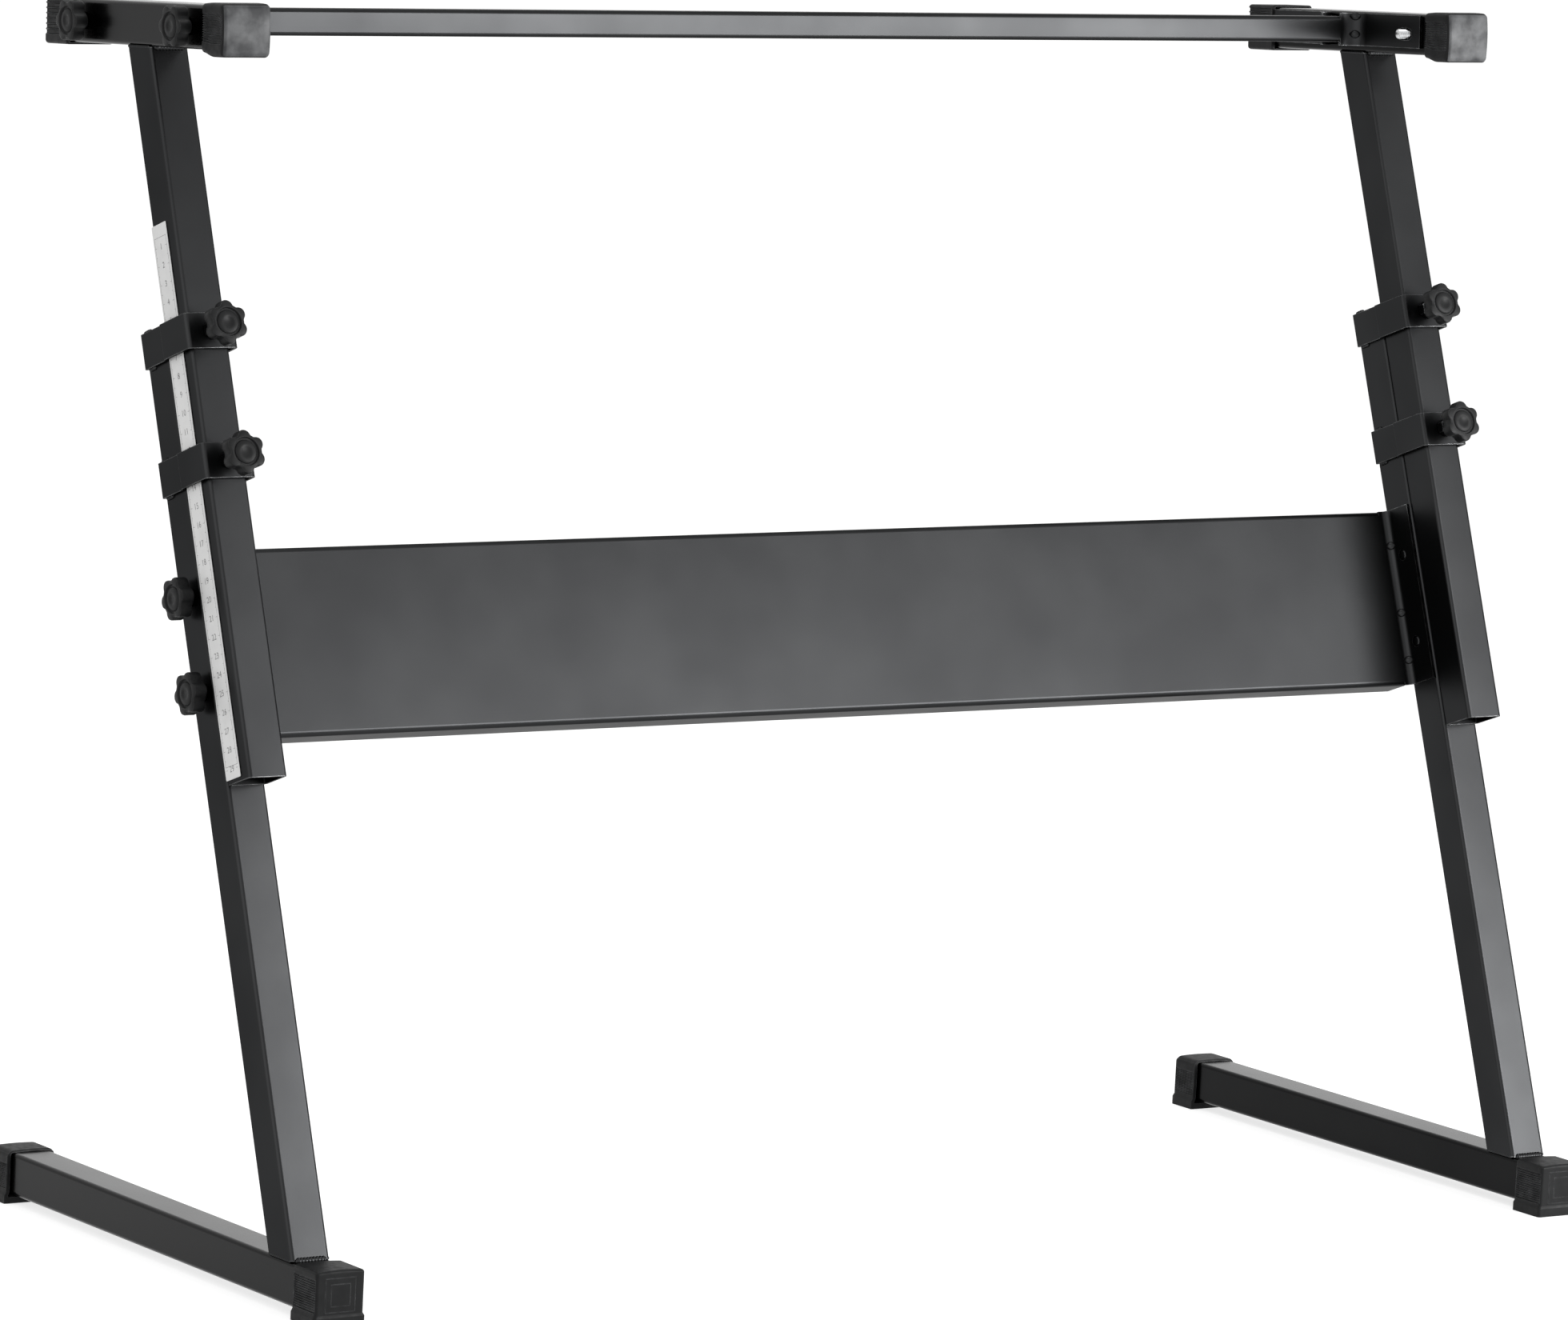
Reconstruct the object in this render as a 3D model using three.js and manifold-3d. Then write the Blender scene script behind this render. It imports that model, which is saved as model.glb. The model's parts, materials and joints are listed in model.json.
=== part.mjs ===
// Z keyboard stand: two Z-shaped side frames of square tube, joined by a crossbar and a sheet panel.
// Units are millimetres. X runs along the crossbar, Y from front to back, Z up.
// The origin lies on the floor under the middle of the stand.

import * as THREE from 'three';
import { mergeVertices } from 'three/addons/utils/BufferGeometryUtils.js';
import Module from 'manifold-3d';

const wasm = await Module();
wasm.setup();

// Stance
const frameSpacing = 855;      // between the middles of the two side frames
const footprintDepth = 377;    // over the foot caps, front to rear
const seamSetback = 22;        // from the front of the footprint to the foot of the plane between the posts
const baseLift = 5;            // floor to the underside of the base tubes
const armReach = 724;          // along the posts, from the floor to the back of the arm joint
const postEndReach = 299;      // along the posts, from the floor to the upper posts' open ends
const armFront = 112.5;        // the arm's front end with its cap, ahead of the back of the arm joint
const armRear = 90.5;          // the arm's rear end with its cap, behind the same place
const postLean = THREE.MathUtils.degToRad(20);
const armSlope = THREE.MathUtils.degToRad(3);

// Square steel tube, the same for bases, posts and arms
const tubeSide = 25;
const tubeWall = 1.5;
const tubeInnerCorner = 1;

// Fits
const seatGap = 0.3;           // between pieces that rest on, sit in or are welded to each other
const slideSideGap = 1.8;      // from the upper post's sides to the clamp brackets
const slideFrontGap = 2;       // from the upper post's front to the clamp plates
const overrun = 5;             // how far a cut runs past the faces that it opens

// Clamp brackets, bent from strap
const strapThickness = 2;
const strapHeight = 20.5;
const strapBend = 1;           // inside radius of the two front bends
const strapLap = 24;           // how far the strap runs back along the lower post
const strapJogLength = 5;      // length over which the strap steps outwards
const clampSpacing = 74;       // between the middles of a side's two brackets
const clampAbovePanel = 30;    // from the panel's top edge to the lower bracket's bottom edge

// Knob screws
const knobRadius = 12.5;       // over the lobes
const knobLobeRadius = 4;
const knobValleyRadius = 10.2; // between the lobes
const knobBody = 8;
const knobEdge = 1.2;          // chamfer round the lobed body
const knobHub = 3.5;
const knobHubRadius = 5;
const knobDishOuter = 8.6;
const knobDishInner = 4.6;
const knobDishDepth = 1.2;
const knobSocket = 8.5;        // depth of the hole that holds the stud
const studRadius = 3;
const studTip = 5.5;           // how far an arm's stud shows past the flange that it locks
const clampStudShow = 3.5;     // how much of a clamp's stud shows between its nut and its knob
const nutAcrossFlats = 10;
const nutThickness = 5;

// Plastic caps
const capSideWall = 2.7;
const capTopWall = 1.2;
const capUnderWall = 1.2;
const capEndWall = 3;
const capEdge = 1.5;           // rounding of the arm caps' side edges
const capBulge = 2;            // how far the front arm cap's face swells
const capDrop = 2.1;           // how far the front arm cap deepens
const capDropLength = 9;       // from its open end to its full depth
const armCapFrontLength = 23;
const armCapRearLength = 26;
const footFlare = 1;           // how far the sole stands out at the sides
const footLip = 5;             // height of the sole's upright edge
const footShoulder = 2.5;      // height of the slope above it
const frontFootLength = 25;
const frontFootToe = 0.5;     // how far the sole stands out ahead
const frontFootCrown = 2.5;    // radius along the top edges
const rearFootLength = 23;
const rearFootToe = 0.5;
const rearFootCrown = 5;

// Crossbar, a box section with flanges that lie on the arms' inner faces
const sheet = 1.5;
const crossbarDepth = 20;
const crossbarHeight = 15.6;
const crossbarAhead = 9.5;     // its middle, ahead of the back of the arm joint
const crossbarRise = 1.5;      // its middle, above the arm's middle
const crossbarBend = 12;       // outside radius of the bends into the flanges
const crossbarCorner = 1;      // inside radius of its long edges
const crossbarFlangeHeight = 20;
const crossbarFlangeReach = 63.7;  // from the web's face to the flange's end
const armKnobSpacing = 118;
const slotLength = 13;
const slotWidth = 7.4;
const slotRoundShare = 0.95;   // of half the width that the ends' rounding takes

// Lower panel, a pan whose end flanges lie on the lower posts' inner faces
const panelReach = 383.5;      // along the posts, from the floor to the panel's middle
const panelHeight = 108.6;
const panelInset = 22;         // its face, behind the plane between the posts
const panelLip = 20;
const panelLipBend = 1.5;      // inside radius of the bends into the lips
const panelBend = 6;           // outside radius of the bends into the flanges
const panelFlangeMargin = 1;   // from the flange's front edge to the plane between the posts
const panelKnobSpacing = 54;
const panelKnobDrop = 2;       // the knobs' middle, below the panel's

// Height scale
const scaleLength = 316.4;
const scaleWidth = 16;
const scaleThickness = 0.4;
const scaleInset = 1;          // from the upper post's rear edge
const scaleStart = 2.5;        // from the upper post's open end

// Curve fineness
const cornerSegments = 2;
const bendSegments = 8;
const lipSegments = 4;
const studSides = 16;
const knobSides = 20;
const lobeCount = 6;
const lobePoints = 8;

// Places that several pieces share
const tubeHalf = tubeSide / 2;
const tubeCorner = tubeInnerCorner + tubeWall;
const seamHalfGap = seatGap / 2;
const frameMiddle = frameSpacing / 2;
const innerFace = frameMiddle - tubeHalf;
const flangeFace = innerFace - seatGap;
const frontEnd = -footprintDepth / 2;
const rearEnd = footprintDepth / 2;
const seamY = frontEnd + seamSetback;
const baseTop = baseLift + tubeSide;
const postMiddle = seamHalfGap + tubeHalf;
const armJointY = seamY + armReach * Math.sin(postLean);
const armJointZ = armReach * Math.cos(postLean);
const jointLean = postLean - armSlope;
const crossbarMiddleZ = tubeHalf + crossbarRise;
const lowerClampReach = panelReach + panelHeight / 2 + clampAbovePanel + strapHeight / 2;
const upperClampReach = lowerClampReach + clampSpacing;
const plateInner = seamHalfGap + tubeSide + slideFrontGap;
const plateOuter = plateInner + strapThickness;
const boreRadius = studRadius + seatGap;

const finishes = {
  blackSteel: { color: 0x2b2c2d, roughness: 0.42, metalness: 0.25 },
  blackPlastic: { color: 0x303132, roughness: 0.6, metalness: 0 },
  greyPlastic: { color: 0x4a4b4c, roughness: 0.65, metalness: 0 },
  zincSteel: { color: 0xb9bcbd, roughness: 0.3, metalness: 1 },
  whiteStrip: { color: 0xdcdddb, roughness: 0.5, metalness: 0 },
};

function makeMesh(name, geometry, finish) {
  geometry.computeVertexNormals();
  const mesh = new THREE.Mesh(geometry, new THREE.MeshStandardMaterial(finishes[finish]));
  mesh.name = name;
  return mesh;
}

// Solids that are joined or cut

function toSolid(geometry) {
  const bare = geometry.clone();
  bare.deleteAttribute('normal');
  bare.deleteAttribute('uv');
  const merged = mergeVertices(bare);
  const vertProperties = new Float32Array(merged.getAttribute('position').array);
  const triVerts = new Uint32Array(merged.getIndex().array);
  return new wasm.Manifold(new wasm.Mesh({ numProp: 3, vertProperties, triVerts }));
}

function toGeometry(solid) {
  const found = solid.getMesh();
  const geometry = new THREE.BufferGeometry();
  geometry.setAttribute('position', new THREE.BufferAttribute(found.vertProperties, 3));
  geometry.setIndex(new THREE.BufferAttribute(found.triVerts, 1));
  return geometry.toNonIndexed();
}

function joined(first, ...others) {
  return toGeometry(others.reduce((sum, other) => sum.add(toSolid(other)), toSolid(first)));
}

function cut(body, ...tools) {
  return toGeometry(tools.reduce((rest, tool) => rest.subtract(toSolid(tool)), toSolid(body)));
}

// Outlines and the three ways to run them out

function polygon(points) {
  return new THREE.Shape(points.map(([x, y]) => new THREE.Vector2(x, y)));
}

function roundedBox(width, height, radius) {
  const x = width / 2;
  const y = height / 2;
  const shape = new THREE.Shape();
  shape.moveTo(x, y - radius);
  shape.absarc(x - radius, y - radius, radius, 0, Math.PI / 2, false);
  shape.absarc(radius - x, y - radius, radius, Math.PI / 2, Math.PI, false);
  shape.absarc(radius - x, radius - y, radius, Math.PI, Math.PI * 1.5, false);
  shape.absarc(x - radius, radius - y, radius, Math.PI * 1.5, Math.PI * 2, false);
  return shape;
}

function runUp(shape, length, segments = cornerSegments) {
  const options = { depth: length, bevelEnabled: false, curveSegments: segments };
  return new THREE.ExtrudeGeometry(shape, options);
}

// The outline's x stays X and its y becomes Z; the run goes forwards, towards -Y.
function runForward(shape, length) {
  return runUp(shape, length).rotateX(Math.PI / 2);
}

// The outline's x becomes Y and its y becomes Z; the run is centred across X.
const acrossBasis = new THREE.Matrix4().makeBasis(
  new THREE.Vector3(0, 1, 0),
  new THREE.Vector3(0, 0, 1),
  new THREE.Vector3(1, 0, 0),
);

function runAcross(shape, length, segments = cornerSegments) {
  return runUp(shape, length, segments).translate(0, 0, -length / 2).applyMatrix4(acrossBasis);
}

function block(x0, x1, y0, y1, z0, z1) {
  const box = new THREE.BoxGeometry(x1 - x0, y1 - y0, z1 - z0);
  return box.translate((x0 + x1) / 2, (y0 + y1) / 2, (z0 + z1) / 2);
}

// A round cutter along X or Y, as long as is asked, centred on a point.
function borer(radius, length, axis, x, y, z) {
  const pin = new THREE.CylinderGeometry(radius, radius, length, studSides);
  if (axis === 'x') {
    pin.rotateZ(Math.PI / 2);
  }
  return pin.translate(x, y, z);
}

// Square tube, upright, with its middle on the Z axis
function squareTube(length) {
  const section = roundedBox(tubeSide, tubeSide, tubeCorner);
  section.holes.push(roundedBox(tubeSide - 2 * tubeWall, tubeSide - 2 * tubeWall, tubeInnerCorner));
  return runUp(section, length);
}

// Moves one end of an upright tube onto the plane z = height + y * slope.
function mitre(geometry, isEnd, height, slope) {
  const places = geometry.getAttribute('position');
  for (let i = 0; i < places.count; i += 1) {
    if (isEnd(places.getZ(i))) {
      places.setZ(i, height + places.getY(i) * slope);
    }
  }
  return geometry;
}

function baseTube() {
  const front = frontEnd + frontFootToe + capEndWall + seatGap;
  const rear = rearEnd - rearFootToe - capEndWall - seatGap;
  return squareTube(rear - front).rotateX(Math.PI / 2).translate(0, rear, baseLift + tubeHalf);
}

// The lower post stands on the base tube, behind the plane between the posts.
function lowerPost() {
  const top = upperClampReach + strapHeight / 2;
  const footHeight = (baseTop + seatGap) / Math.cos(postLean);
  const post = squareTube(top).translate(0, postMiddle, 0);
  mitre(post, (z) => z < top / 2, footHeight, Math.tan(postLean));
  const boreLength = tubeSide + overrun;
  const holes = panelKnobReaches().map((reach) => borer(boreRadius, boreLength, 'x', 0, postMiddle, reach));
  return cut(post, ...holes);
}

function panelKnobReaches() {
  const middle = panelReach - panelKnobDrop;
  return [middle + panelKnobSpacing / 2, middle - panelKnobSpacing / 2];
}

// The upper post runs up to the underside of the arm, in front of the plane between the posts.
function upperPost() {
  const length = armReach - postEndReach;
  const post = squareTube(length).translate(0, -postMiddle, postEndReach);
  const underArm = armReach - seatGap / Math.cos(jointLean);
  return mitre(post, (z) => z > postEndReach + length / 2, underArm, Math.tan(jointLean));
}

// The arm lies along Y with its underside on z = 0.
function armTube() {
  const front = -armFront + capEndWall + seatGap;
  const rear = armRear - capEndWall - seatGap;
  const tube = squareTube(rear - front).rotateX(Math.PI / 2).translate(0, rear, tubeHalf);
  const holes = armKnobPlaces().map((y) => borer(boreRadius, tubeSide + overrun, 'x', 0, y, tubeHalf));
  return cut(tube, ...holes);
}

function armKnobPlaces() {
  return [-crossbarAhead - armKnobSpacing / 2, -crossbarAhead + armKnobSpacing / 2];
}

// A clamp bracket is welded to the lower post's sides, steps outwards and wraps the upper post.
function clampBracket() {
  const rearX = tubeHalf + seatGap;
  const frontX = tubeHalf + slideSideGap;
  const stepBack = strapJogLength / 2;
  const shape = new THREE.Shape();
  const t = strapThickness;
  const outerBend = strapBend + t;
  shape.moveTo(rearX, strapLap);
  shape.lineTo(rearX, stepBack);
  shape.lineTo(frontX, -stepBack);
  shape.lineTo(frontX, strapBend - plateInner);
  shape.absarc(frontX - strapBend, strapBend - plateInner, strapBend, 0, -Math.PI / 2, true);
  shape.absarc(strapBend - frontX, strapBend - plateInner, strapBend, -Math.PI / 2, -Math.PI, true);
  shape.lineTo(-frontX, -stepBack);
  shape.lineTo(-rearX, stepBack);
  shape.lineTo(-rearX, strapLap);
  shape.lineTo(-rearX - t, strapLap);
  shape.lineTo(-rearX - t, stepBack);
  shape.lineTo(-frontX - t, -stepBack);
  shape.lineTo(-frontX - t, strapBend - plateInner);
  shape.absarc(strapBend - frontX, strapBend - plateInner, outerBend, Math.PI, Math.PI * 1.5, false);
  shape.absarc(frontX - strapBend, strapBend - plateInner, outerBend, Math.PI * 1.5, Math.PI * 2, false);
  shape.lineTo(frontX + t, -stepBack);
  shape.lineTo(rearX + t, stepBack);
  shape.lineTo(rearX + t, strapLap);
  const strap = runUp(shape, strapHeight).translate(0, 0, -strapHeight / 2);
  return cut(strap, borer(boreRadius, strapThickness + overrun, 'y', 0, -(plateInner + plateOuter) / 2, 0));
}

// Knob screws, built with the hub's back on z = 0 and the face towards +Z

function knobHead() {
  const lobes = polygon(lobedOutline());
  const body = new THREE.ExtrudeGeometry(lobes, {
    depth: knobBody - 2 * knobEdge,
    bevelThickness: knobEdge,
    bevelSize: knobEdge,
    bevelOffset: -knobEdge,
    bevelSegments: 1,
  }).translate(0, 0, knobHub + knobEdge);
  const hub = new THREE.CylinderGeometry(knobHubRadius, knobHubRadius, knobHub + knobBody / 2, knobSides)
    .rotateX(Math.PI / 2)
    .translate(0, 0, (knobHub + knobBody / 2) / 2);
  const face = knobHub + knobBody;
  const dish = ring(knobDishInner, knobDishOuter, face - knobDishDepth, face + overrun);
  const socket = new THREE.CylinderGeometry(boreRadius, boreRadius, knobSocket + overrun, studSides)
    .rotateX(Math.PI / 2)
    .translate(0, 0, (knobSocket - overrun) / 2);
  return cut(joined(body, hub), dish, socket);
}

// Round lobes stand out of a round core; one lobe points along +Y.
function lobedOutline() {
  const lobeMiddle = knobRadius - knobLobeRadius;
  const count = lobeCount * lobePoints;
  return Array.from({ length: count }, (_, i) => {
    const angle = (i / count) * Math.PI * 2;
    const lobe = Math.PI * 2 / lobeCount;
    const offLobe = angle - lobe * Math.round(angle / lobe);
    const across = lobeMiddle * Math.sin(offLobe);
    const inside = Math.max(knobLobeRadius ** 2 - across ** 2, 0);
    const radius = Math.max(lobeMiddle * Math.cos(offLobe) + Math.sqrt(inside), knobValleyRadius);
    return [-radius * Math.sin(angle), radius * Math.cos(angle)];
  });
}

function ring(inner, outer, low, high) {
  const profile = [[inner, low], [outer, low], [outer, high], [inner, high], [inner, low]];
  const points = profile.map(([x, y]) => new THREE.Vector2(x, y));
  return new THREE.LatheGeometry(points, knobSides).rotateX(Math.PI / 2);
}

function stud(reach) {
  const length = reach + knobSocket - seatGap;
  return new THREE.CylinderGeometry(studRadius, studRadius, length, studSides)
    .rotateX(Math.PI / 2)
    .translate(0, 0, length / 2 - reach);
}

function clampNut() {
  const corner = nutAcrossFlats / 2 / Math.cos(Math.PI / 6);
  const outline = Array.from({ length: 6 }, (_, i) => {
    const angle = (i / 6) * Math.PI * 2;
    return [corner * Math.cos(angle), corner * Math.sin(angle)];
  });
  const shape = polygon(outline);
  const hole = new THREE.Path();
  hole.absarc(0, 0, boreRadius, 0, Math.PI * 2, true);
  shape.holes.push(hole);
  const options = { depth: nutThickness, bevelEnabled: false, curveSegments: studSides / 2 };
  return new THREE.ExtrudeGeometry(shape, options);
}

// Foot caps: a sleeve over the base tube's end on a flared sole

function footCap({ length, toe, crown }) {
  const half = tubeHalf + seatGap + capSideWall;
  const sole = half + footFlare;
  const shoulder = footLip + footShoulder;
  const top = baseTop + seatGap + capTopWall;
  const section = new THREE.Shape();
  section.moveTo(-sole, 0);
  section.lineTo(sole, 0);
  section.lineTo(sole, footLip);
  section.lineTo(half, shoulder);
  section.lineTo(half, top - crown);
  section.absarc(half - crown, top - crown, crown, 0, Math.PI / 2, false);
  section.absarc(crown - half, top - crown, crown, Math.PI / 2, Math.PI, false);
  section.lineTo(-half, shoulder);
  section.lineTo(-sole, footLip);
  const body = runForward(section, length);
  const toePiece = runAcross(polygon([
    [overrun - length, 0],
    [overrun - length, shoulder],
    [-length, shoulder],
    [-length - toe, footLip],
    [-length - toe, 0],
  ]), sole * 2);
  const hollow = tubeHalf + seatGap;
  const cavity = block(-hollow, hollow, capEndWall - length, overrun, baseLift - seatGap, baseTop + seatGap);
  return cut(joined(body, toePiece), cavity);
}

function frontFoot() {
  const cap = footCap({ length: frontFootLength, toe: frontFootToe, crown: frontFootCrown });
  return cap.translate(0, frontEnd + frontFootToe + frontFootLength, 0);
}

function rearFoot() {
  const cap = footCap({ length: rearFootLength, toe: rearFootToe, crown: rearFootCrown });
  return cap.rotateZ(Math.PI).translate(0, rearEnd - rearFootToe - rearFootLength, 0);
}

// Arm caps: a sleeve with rounded edges over the arm's end, run across X from its side outline

function capSleeve(outline) {
  const width = tubeSide + 2 * (seatGap + capSideWall);
  const body = new THREE.ExtrudeGeometry(outline, {
    depth: width - 2 * capEdge,
    bevelThickness: capEdge,
    bevelSize: capEdge,
    bevelOffset: -capEdge,
    bevelSegments: 2,
    curveSegments: cornerSegments * 2,
  });
  return body.translate(0, 0, capEdge - width / 2).applyMatrix4(acrossBasis);
}

function armCapFront() {
  const rear = armCapFrontLength - armFront;
  const face = -armFront;
  const top = tubeSide + seatGap + capTopWall;
  const under = -seatGap - capUnderWall;
  const outline = new THREE.Shape();
  outline.moveTo(rear, under);
  outline.lineTo(rear, top);
  outline.lineTo(face, top);
  outline.quadraticCurveTo(face - 2 * capBulge, (top + under) / 2, face, under - capDrop);
  outline.lineTo(rear - capDropLength, under - capDrop);
  const hollow = tubeHalf + seatGap;
  const cavity = block(-hollow, hollow, face + capEndWall, rear + overrun, -seatGap, tubeSide + seatGap);
  return cut(capSleeve(outline), cavity);
}

function armCapRear() {
  const front = armRear - armCapRearLength;
  const top = tubeSide + seatGap + capTopWall;
  const under = -seatGap - capUnderWall;
  const outline = polygon([[front, under], [armRear, under], [armRear, top], [front, top]]);
  const hollow = tubeHalf + seatGap;
  const cavity = block(-hollow, hollow, front - overrun, armRear - capEndWall, -seatGap, tubeSide + seatGap);
  return cut(capSleeve(outline), cavity);
}

// A bent sheet end: from a web with its back on y = face it turns into a flange along x = flangeFace,
// running towards -Y. A short root laps the web. The outline lies in X and Y and is run up by its height.
function bentFlange({ face, bend, reach, height }) {
  const innerBend = bend - sheet;
  const root = flangeFace - bend;
  const shape = new THREE.Shape();
  shape.moveTo(root - sheet, face);
  shape.lineTo(root - sheet, face - sheet);
  shape.lineTo(root, face - sheet);
  shape.absarc(root, face - bend, innerBend, Math.PI / 2, 0, true);
  shape.lineTo(flangeFace - sheet, face - reach);
  shape.lineTo(flangeFace, face - reach);
  shape.lineTo(flangeFace, face - bend);
  shape.absarc(root, face - bend, bend, 0, Math.PI / 2, false);
  return runUp(shape, height, bendSegments).translate(0, 0, -height / 2);
}

// Half a turn about Z swaps left and right, front and back.
function turned(geometry) {
  return geometry.clone().rotateZ(Math.PI);
}

function mirroredFrontToBack(geometry, middle) {
  const mirrored = geometry.index ? geometry.toNonIndexed() : geometry.clone();
  const places = mirrored.getAttribute('position');
  for (let i = 0; i < places.count; i += 3) {
    const first = [places.getX(i), places.getY(i), places.getZ(i)];
    places.setXYZ(i, places.getX(i + 1), 2 * middle - places.getY(i + 1), places.getZ(i + 1));
    places.setXYZ(i + 1, first[0], 2 * middle - first[1], first[2]);
    places.setY(i + 2, 2 * middle - places.getY(i + 2));
  }
  return mirrored;
}

// The crossbar is drawn about its own middle and then set on the arms.
function crossbar() {
  const halfDepth = crossbarDepth / 2;
  const barSection = roundedBox(crossbarDepth, crossbarHeight, crossbarCorner + sheet);
  barSection.holes.push(roundedBox(crossbarDepth - 2 * sheet, crossbarHeight - 2 * sheet, crossbarCorner));
  const bar = runAcross(barSection, 2 * (flangeFace - crossbarBend));
  const right = bentFlange({
    face: sheet - halfDepth,
    bend: crossbarBend,
    reach: crossbarFlangeReach + sheet,
    height: crossbarFlangeHeight,
  });
  const rightRear = mirroredFrontToBack(right, 0);
  const slots = [-1, 1].map((end) => {
    const slot = roundedBox(slotLength, slotWidth, (slotWidth / 2) * slotRoundShare);
    return runAcross(slot, 2 * (flangeFace + overrun)).translate(0, end * armKnobSpacing / 2, -crossbarRise);
  });
  const bare = joined(bar, right, rightRear, turned(right), turned(rightRear));
  return cut(bare, ...slots).translate(0, -crossbarAhead, crossbarMiddleZ);
}

// The panel is drawn about its middle height and then raised along the posts.
function lowerPanel() {
  const half = panelHeight / 2;
  const back = panelInset + sheet;
  const outerBend = panelLipBend + sheet;
  const profile = new THREE.Shape();
  profile.moveTo(panelInset + panelLip, half);
  profile.lineTo(panelInset + outerBend, half);
  profile.absarc(panelInset + outerBend, half - outerBend, outerBend, Math.PI / 2, Math.PI, false);
  profile.absarc(panelInset + outerBend, outerBend - half, outerBend, Math.PI, Math.PI * 1.5, false);
  profile.lineTo(panelInset + panelLip, -half);
  profile.lineTo(panelInset + panelLip, sheet - half);
  profile.lineTo(back + panelLipBend, sheet - half);
  profile.absarc(back + panelLipBend, outerBend - half, panelLipBend, Math.PI * 1.5, Math.PI, true);
  profile.absarc(back + panelLipBend, half - outerBend, panelLipBend, Math.PI, Math.PI / 2, true);
  profile.lineTo(panelInset + panelLip, half - sheet);
  const pan = runAcross(profile, 2 * (flangeFace - panelBend), lipSegments);
  const right = bentFlange({
    face: back,
    bend: panelBend,
    reach: back - panelFlangeMargin,
    height: panelHeight,
  });
  const left = mirroredSideways(right);
  const holes = panelKnobReaches().map((reach) => {
    const length = 2 * (flangeFace + overrun);
    return borer(boreRadius, length, 'x', 0, postMiddle, reach - panelReach);
  });
  return cut(joined(pan, right, left), ...holes).translate(0, 0, panelReach);
}

function mirroredSideways(geometry) {
  return mirroredFrontToBack(turned(geometry), 0);
}

function heightScale(out) {
  const x = tubeHalf + seatGap;
  const y = -seamHalfGap - scaleInset;
  const z = postEndReach + scaleStart;
  const strip = block(x, x + scaleThickness, y - scaleWidth, y, z, z + scaleLength);
  return out > 0 ? strip : mirroredSideways(strip);
}

// Placing

function placed(parent, { x = 0, y = 0, z = 0, turnX = 0, turnY = 0 }) {
  const group = new THREE.Group();
  group.position.set(x, y, z);
  group.rotation.set(turnX, turnY, 0);
  parent.add(group);
  return group;
}

// A knob and its stud; the group's +Z is the way the screw backs out.
function addKnobScrew(parent, name, reach, place, studFinish = 'zincSteel') {
  const group = placed(parent, place);
  group.add(makeMesh(`${name}_knob`, knobHead(), 'blackPlastic'));
  group.add(makeMesh(`${name}_stud`, stud(reach), studFinish));
}

function addClamp(posts, name, reach, side) {
  const group = placed(posts, { z: reach });
  group.add(makeMesh(`${name}_bracket_${side}`, clampBracket(), 'blackSteel'));
  const nutSeat = placed(group, { y: -plateOuter - seatGap, turnX: Math.PI / 2 });
  nutSeat.add(makeMesh(`${name}_nut_${side}`, clampNut(), 'blackSteel'));
  const hubFace = plateOuter + seatGap + nutThickness + clampStudShow;
  const studReach = hubFace - seamHalfGap - tubeSide - seatGap;
  addKnobScrew(group, `${name}_${side}`, studReach, { y: -hubFace, turnX: Math.PI / 2 });
}

function addSide(stand, side, out) {
  const frame = placed(stand, { x: out * frameMiddle });
  frame.add(makeMesh(`base_tube_${side}`, baseTube(), 'blackSteel'));
  frame.add(makeMesh(`foot_front_${side}`, frontFoot(), 'greyPlastic'));
  frame.add(makeMesh(`foot_rear_${side}`, rearFoot(), 'greyPlastic'));

  const posts = placed(frame, { y: seamY, turnX: -postLean });
  posts.add(makeMesh(`lower_post_${side}`, lowerPost(), 'blackSteel'));
  posts.add(makeMesh(`upper_post_${side}`, upperPost(), 'blackSteel'));
  posts.add(makeMesh(`height_scale_${side}`, heightScale(out), 'whiteStrip'));
  addClamp(posts, 'clamp_upper', upperClampReach, side);
  addClamp(posts, 'clamp_lower', lowerClampReach, side);

  const outerTurn = out * Math.PI / 2;
  const hubX = out * (tubeHalf + seatGap);
  const flangeReach = seatGap + tubeSide + seatGap + sheet;
  const panelKnobNames = ['panel_upper', 'panel_lower'];
  panelKnobReaches().forEach((reach, i) => {
    const place = { x: hubX, y: postMiddle, z: reach, turnY: outerTurn };
    addKnobScrew(posts, `${panelKnobNames[i]}_${side}`, flangeReach, place, 'blackSteel');
  });

  const arm = placed(frame, { y: armJointY, z: armJointZ, turnX: -armSlope });
  arm.add(makeMesh(`arm_tube_${side}`, armTube(), 'blackSteel'));
  arm.add(makeMesh(`arm_cap_front_${side}`, armCapFront(), 'greyPlastic'));
  arm.add(makeMesh(`arm_cap_rear_${side}`, armCapRear(), 'greyPlastic'));
  const armKnobNames = ['arm_front', 'arm_rear'];
  armKnobPlaces().forEach((y, i) => {
    const place = { x: hubX, y, z: tubeHalf, turnY: outerTurn };
    addKnobScrew(arm, `${armKnobNames[i]}_${side}`, flangeReach + studTip, place);
  });
}

const stand = new THREE.Group();
addSide(stand, 'left', -1);
addSide(stand, 'right', 1);
placed(stand, { y: armJointY, z: armJointZ, turnX: -armSlope })
  .add(makeMesh('crossbar', crossbar(), 'blackSteel'));
placed(stand, { y: seamY, turnX: -postLean })
  .add(makeMesh('lower_panel', lowerPanel(), 'blackSteel'));

export default stand;
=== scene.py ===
# Looks of the z keyboard stand: powder coat, moulded caps and knobs, screw threads,
# printed height scales, nuts, welds and pressed corner darts, around the fixed frame.
# Units are metres; sizes in the dictionaries are given in millimetres times mm.

import json
import math

import bpy
import numpy as np
from mathutils import Matrix, Vector


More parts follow.
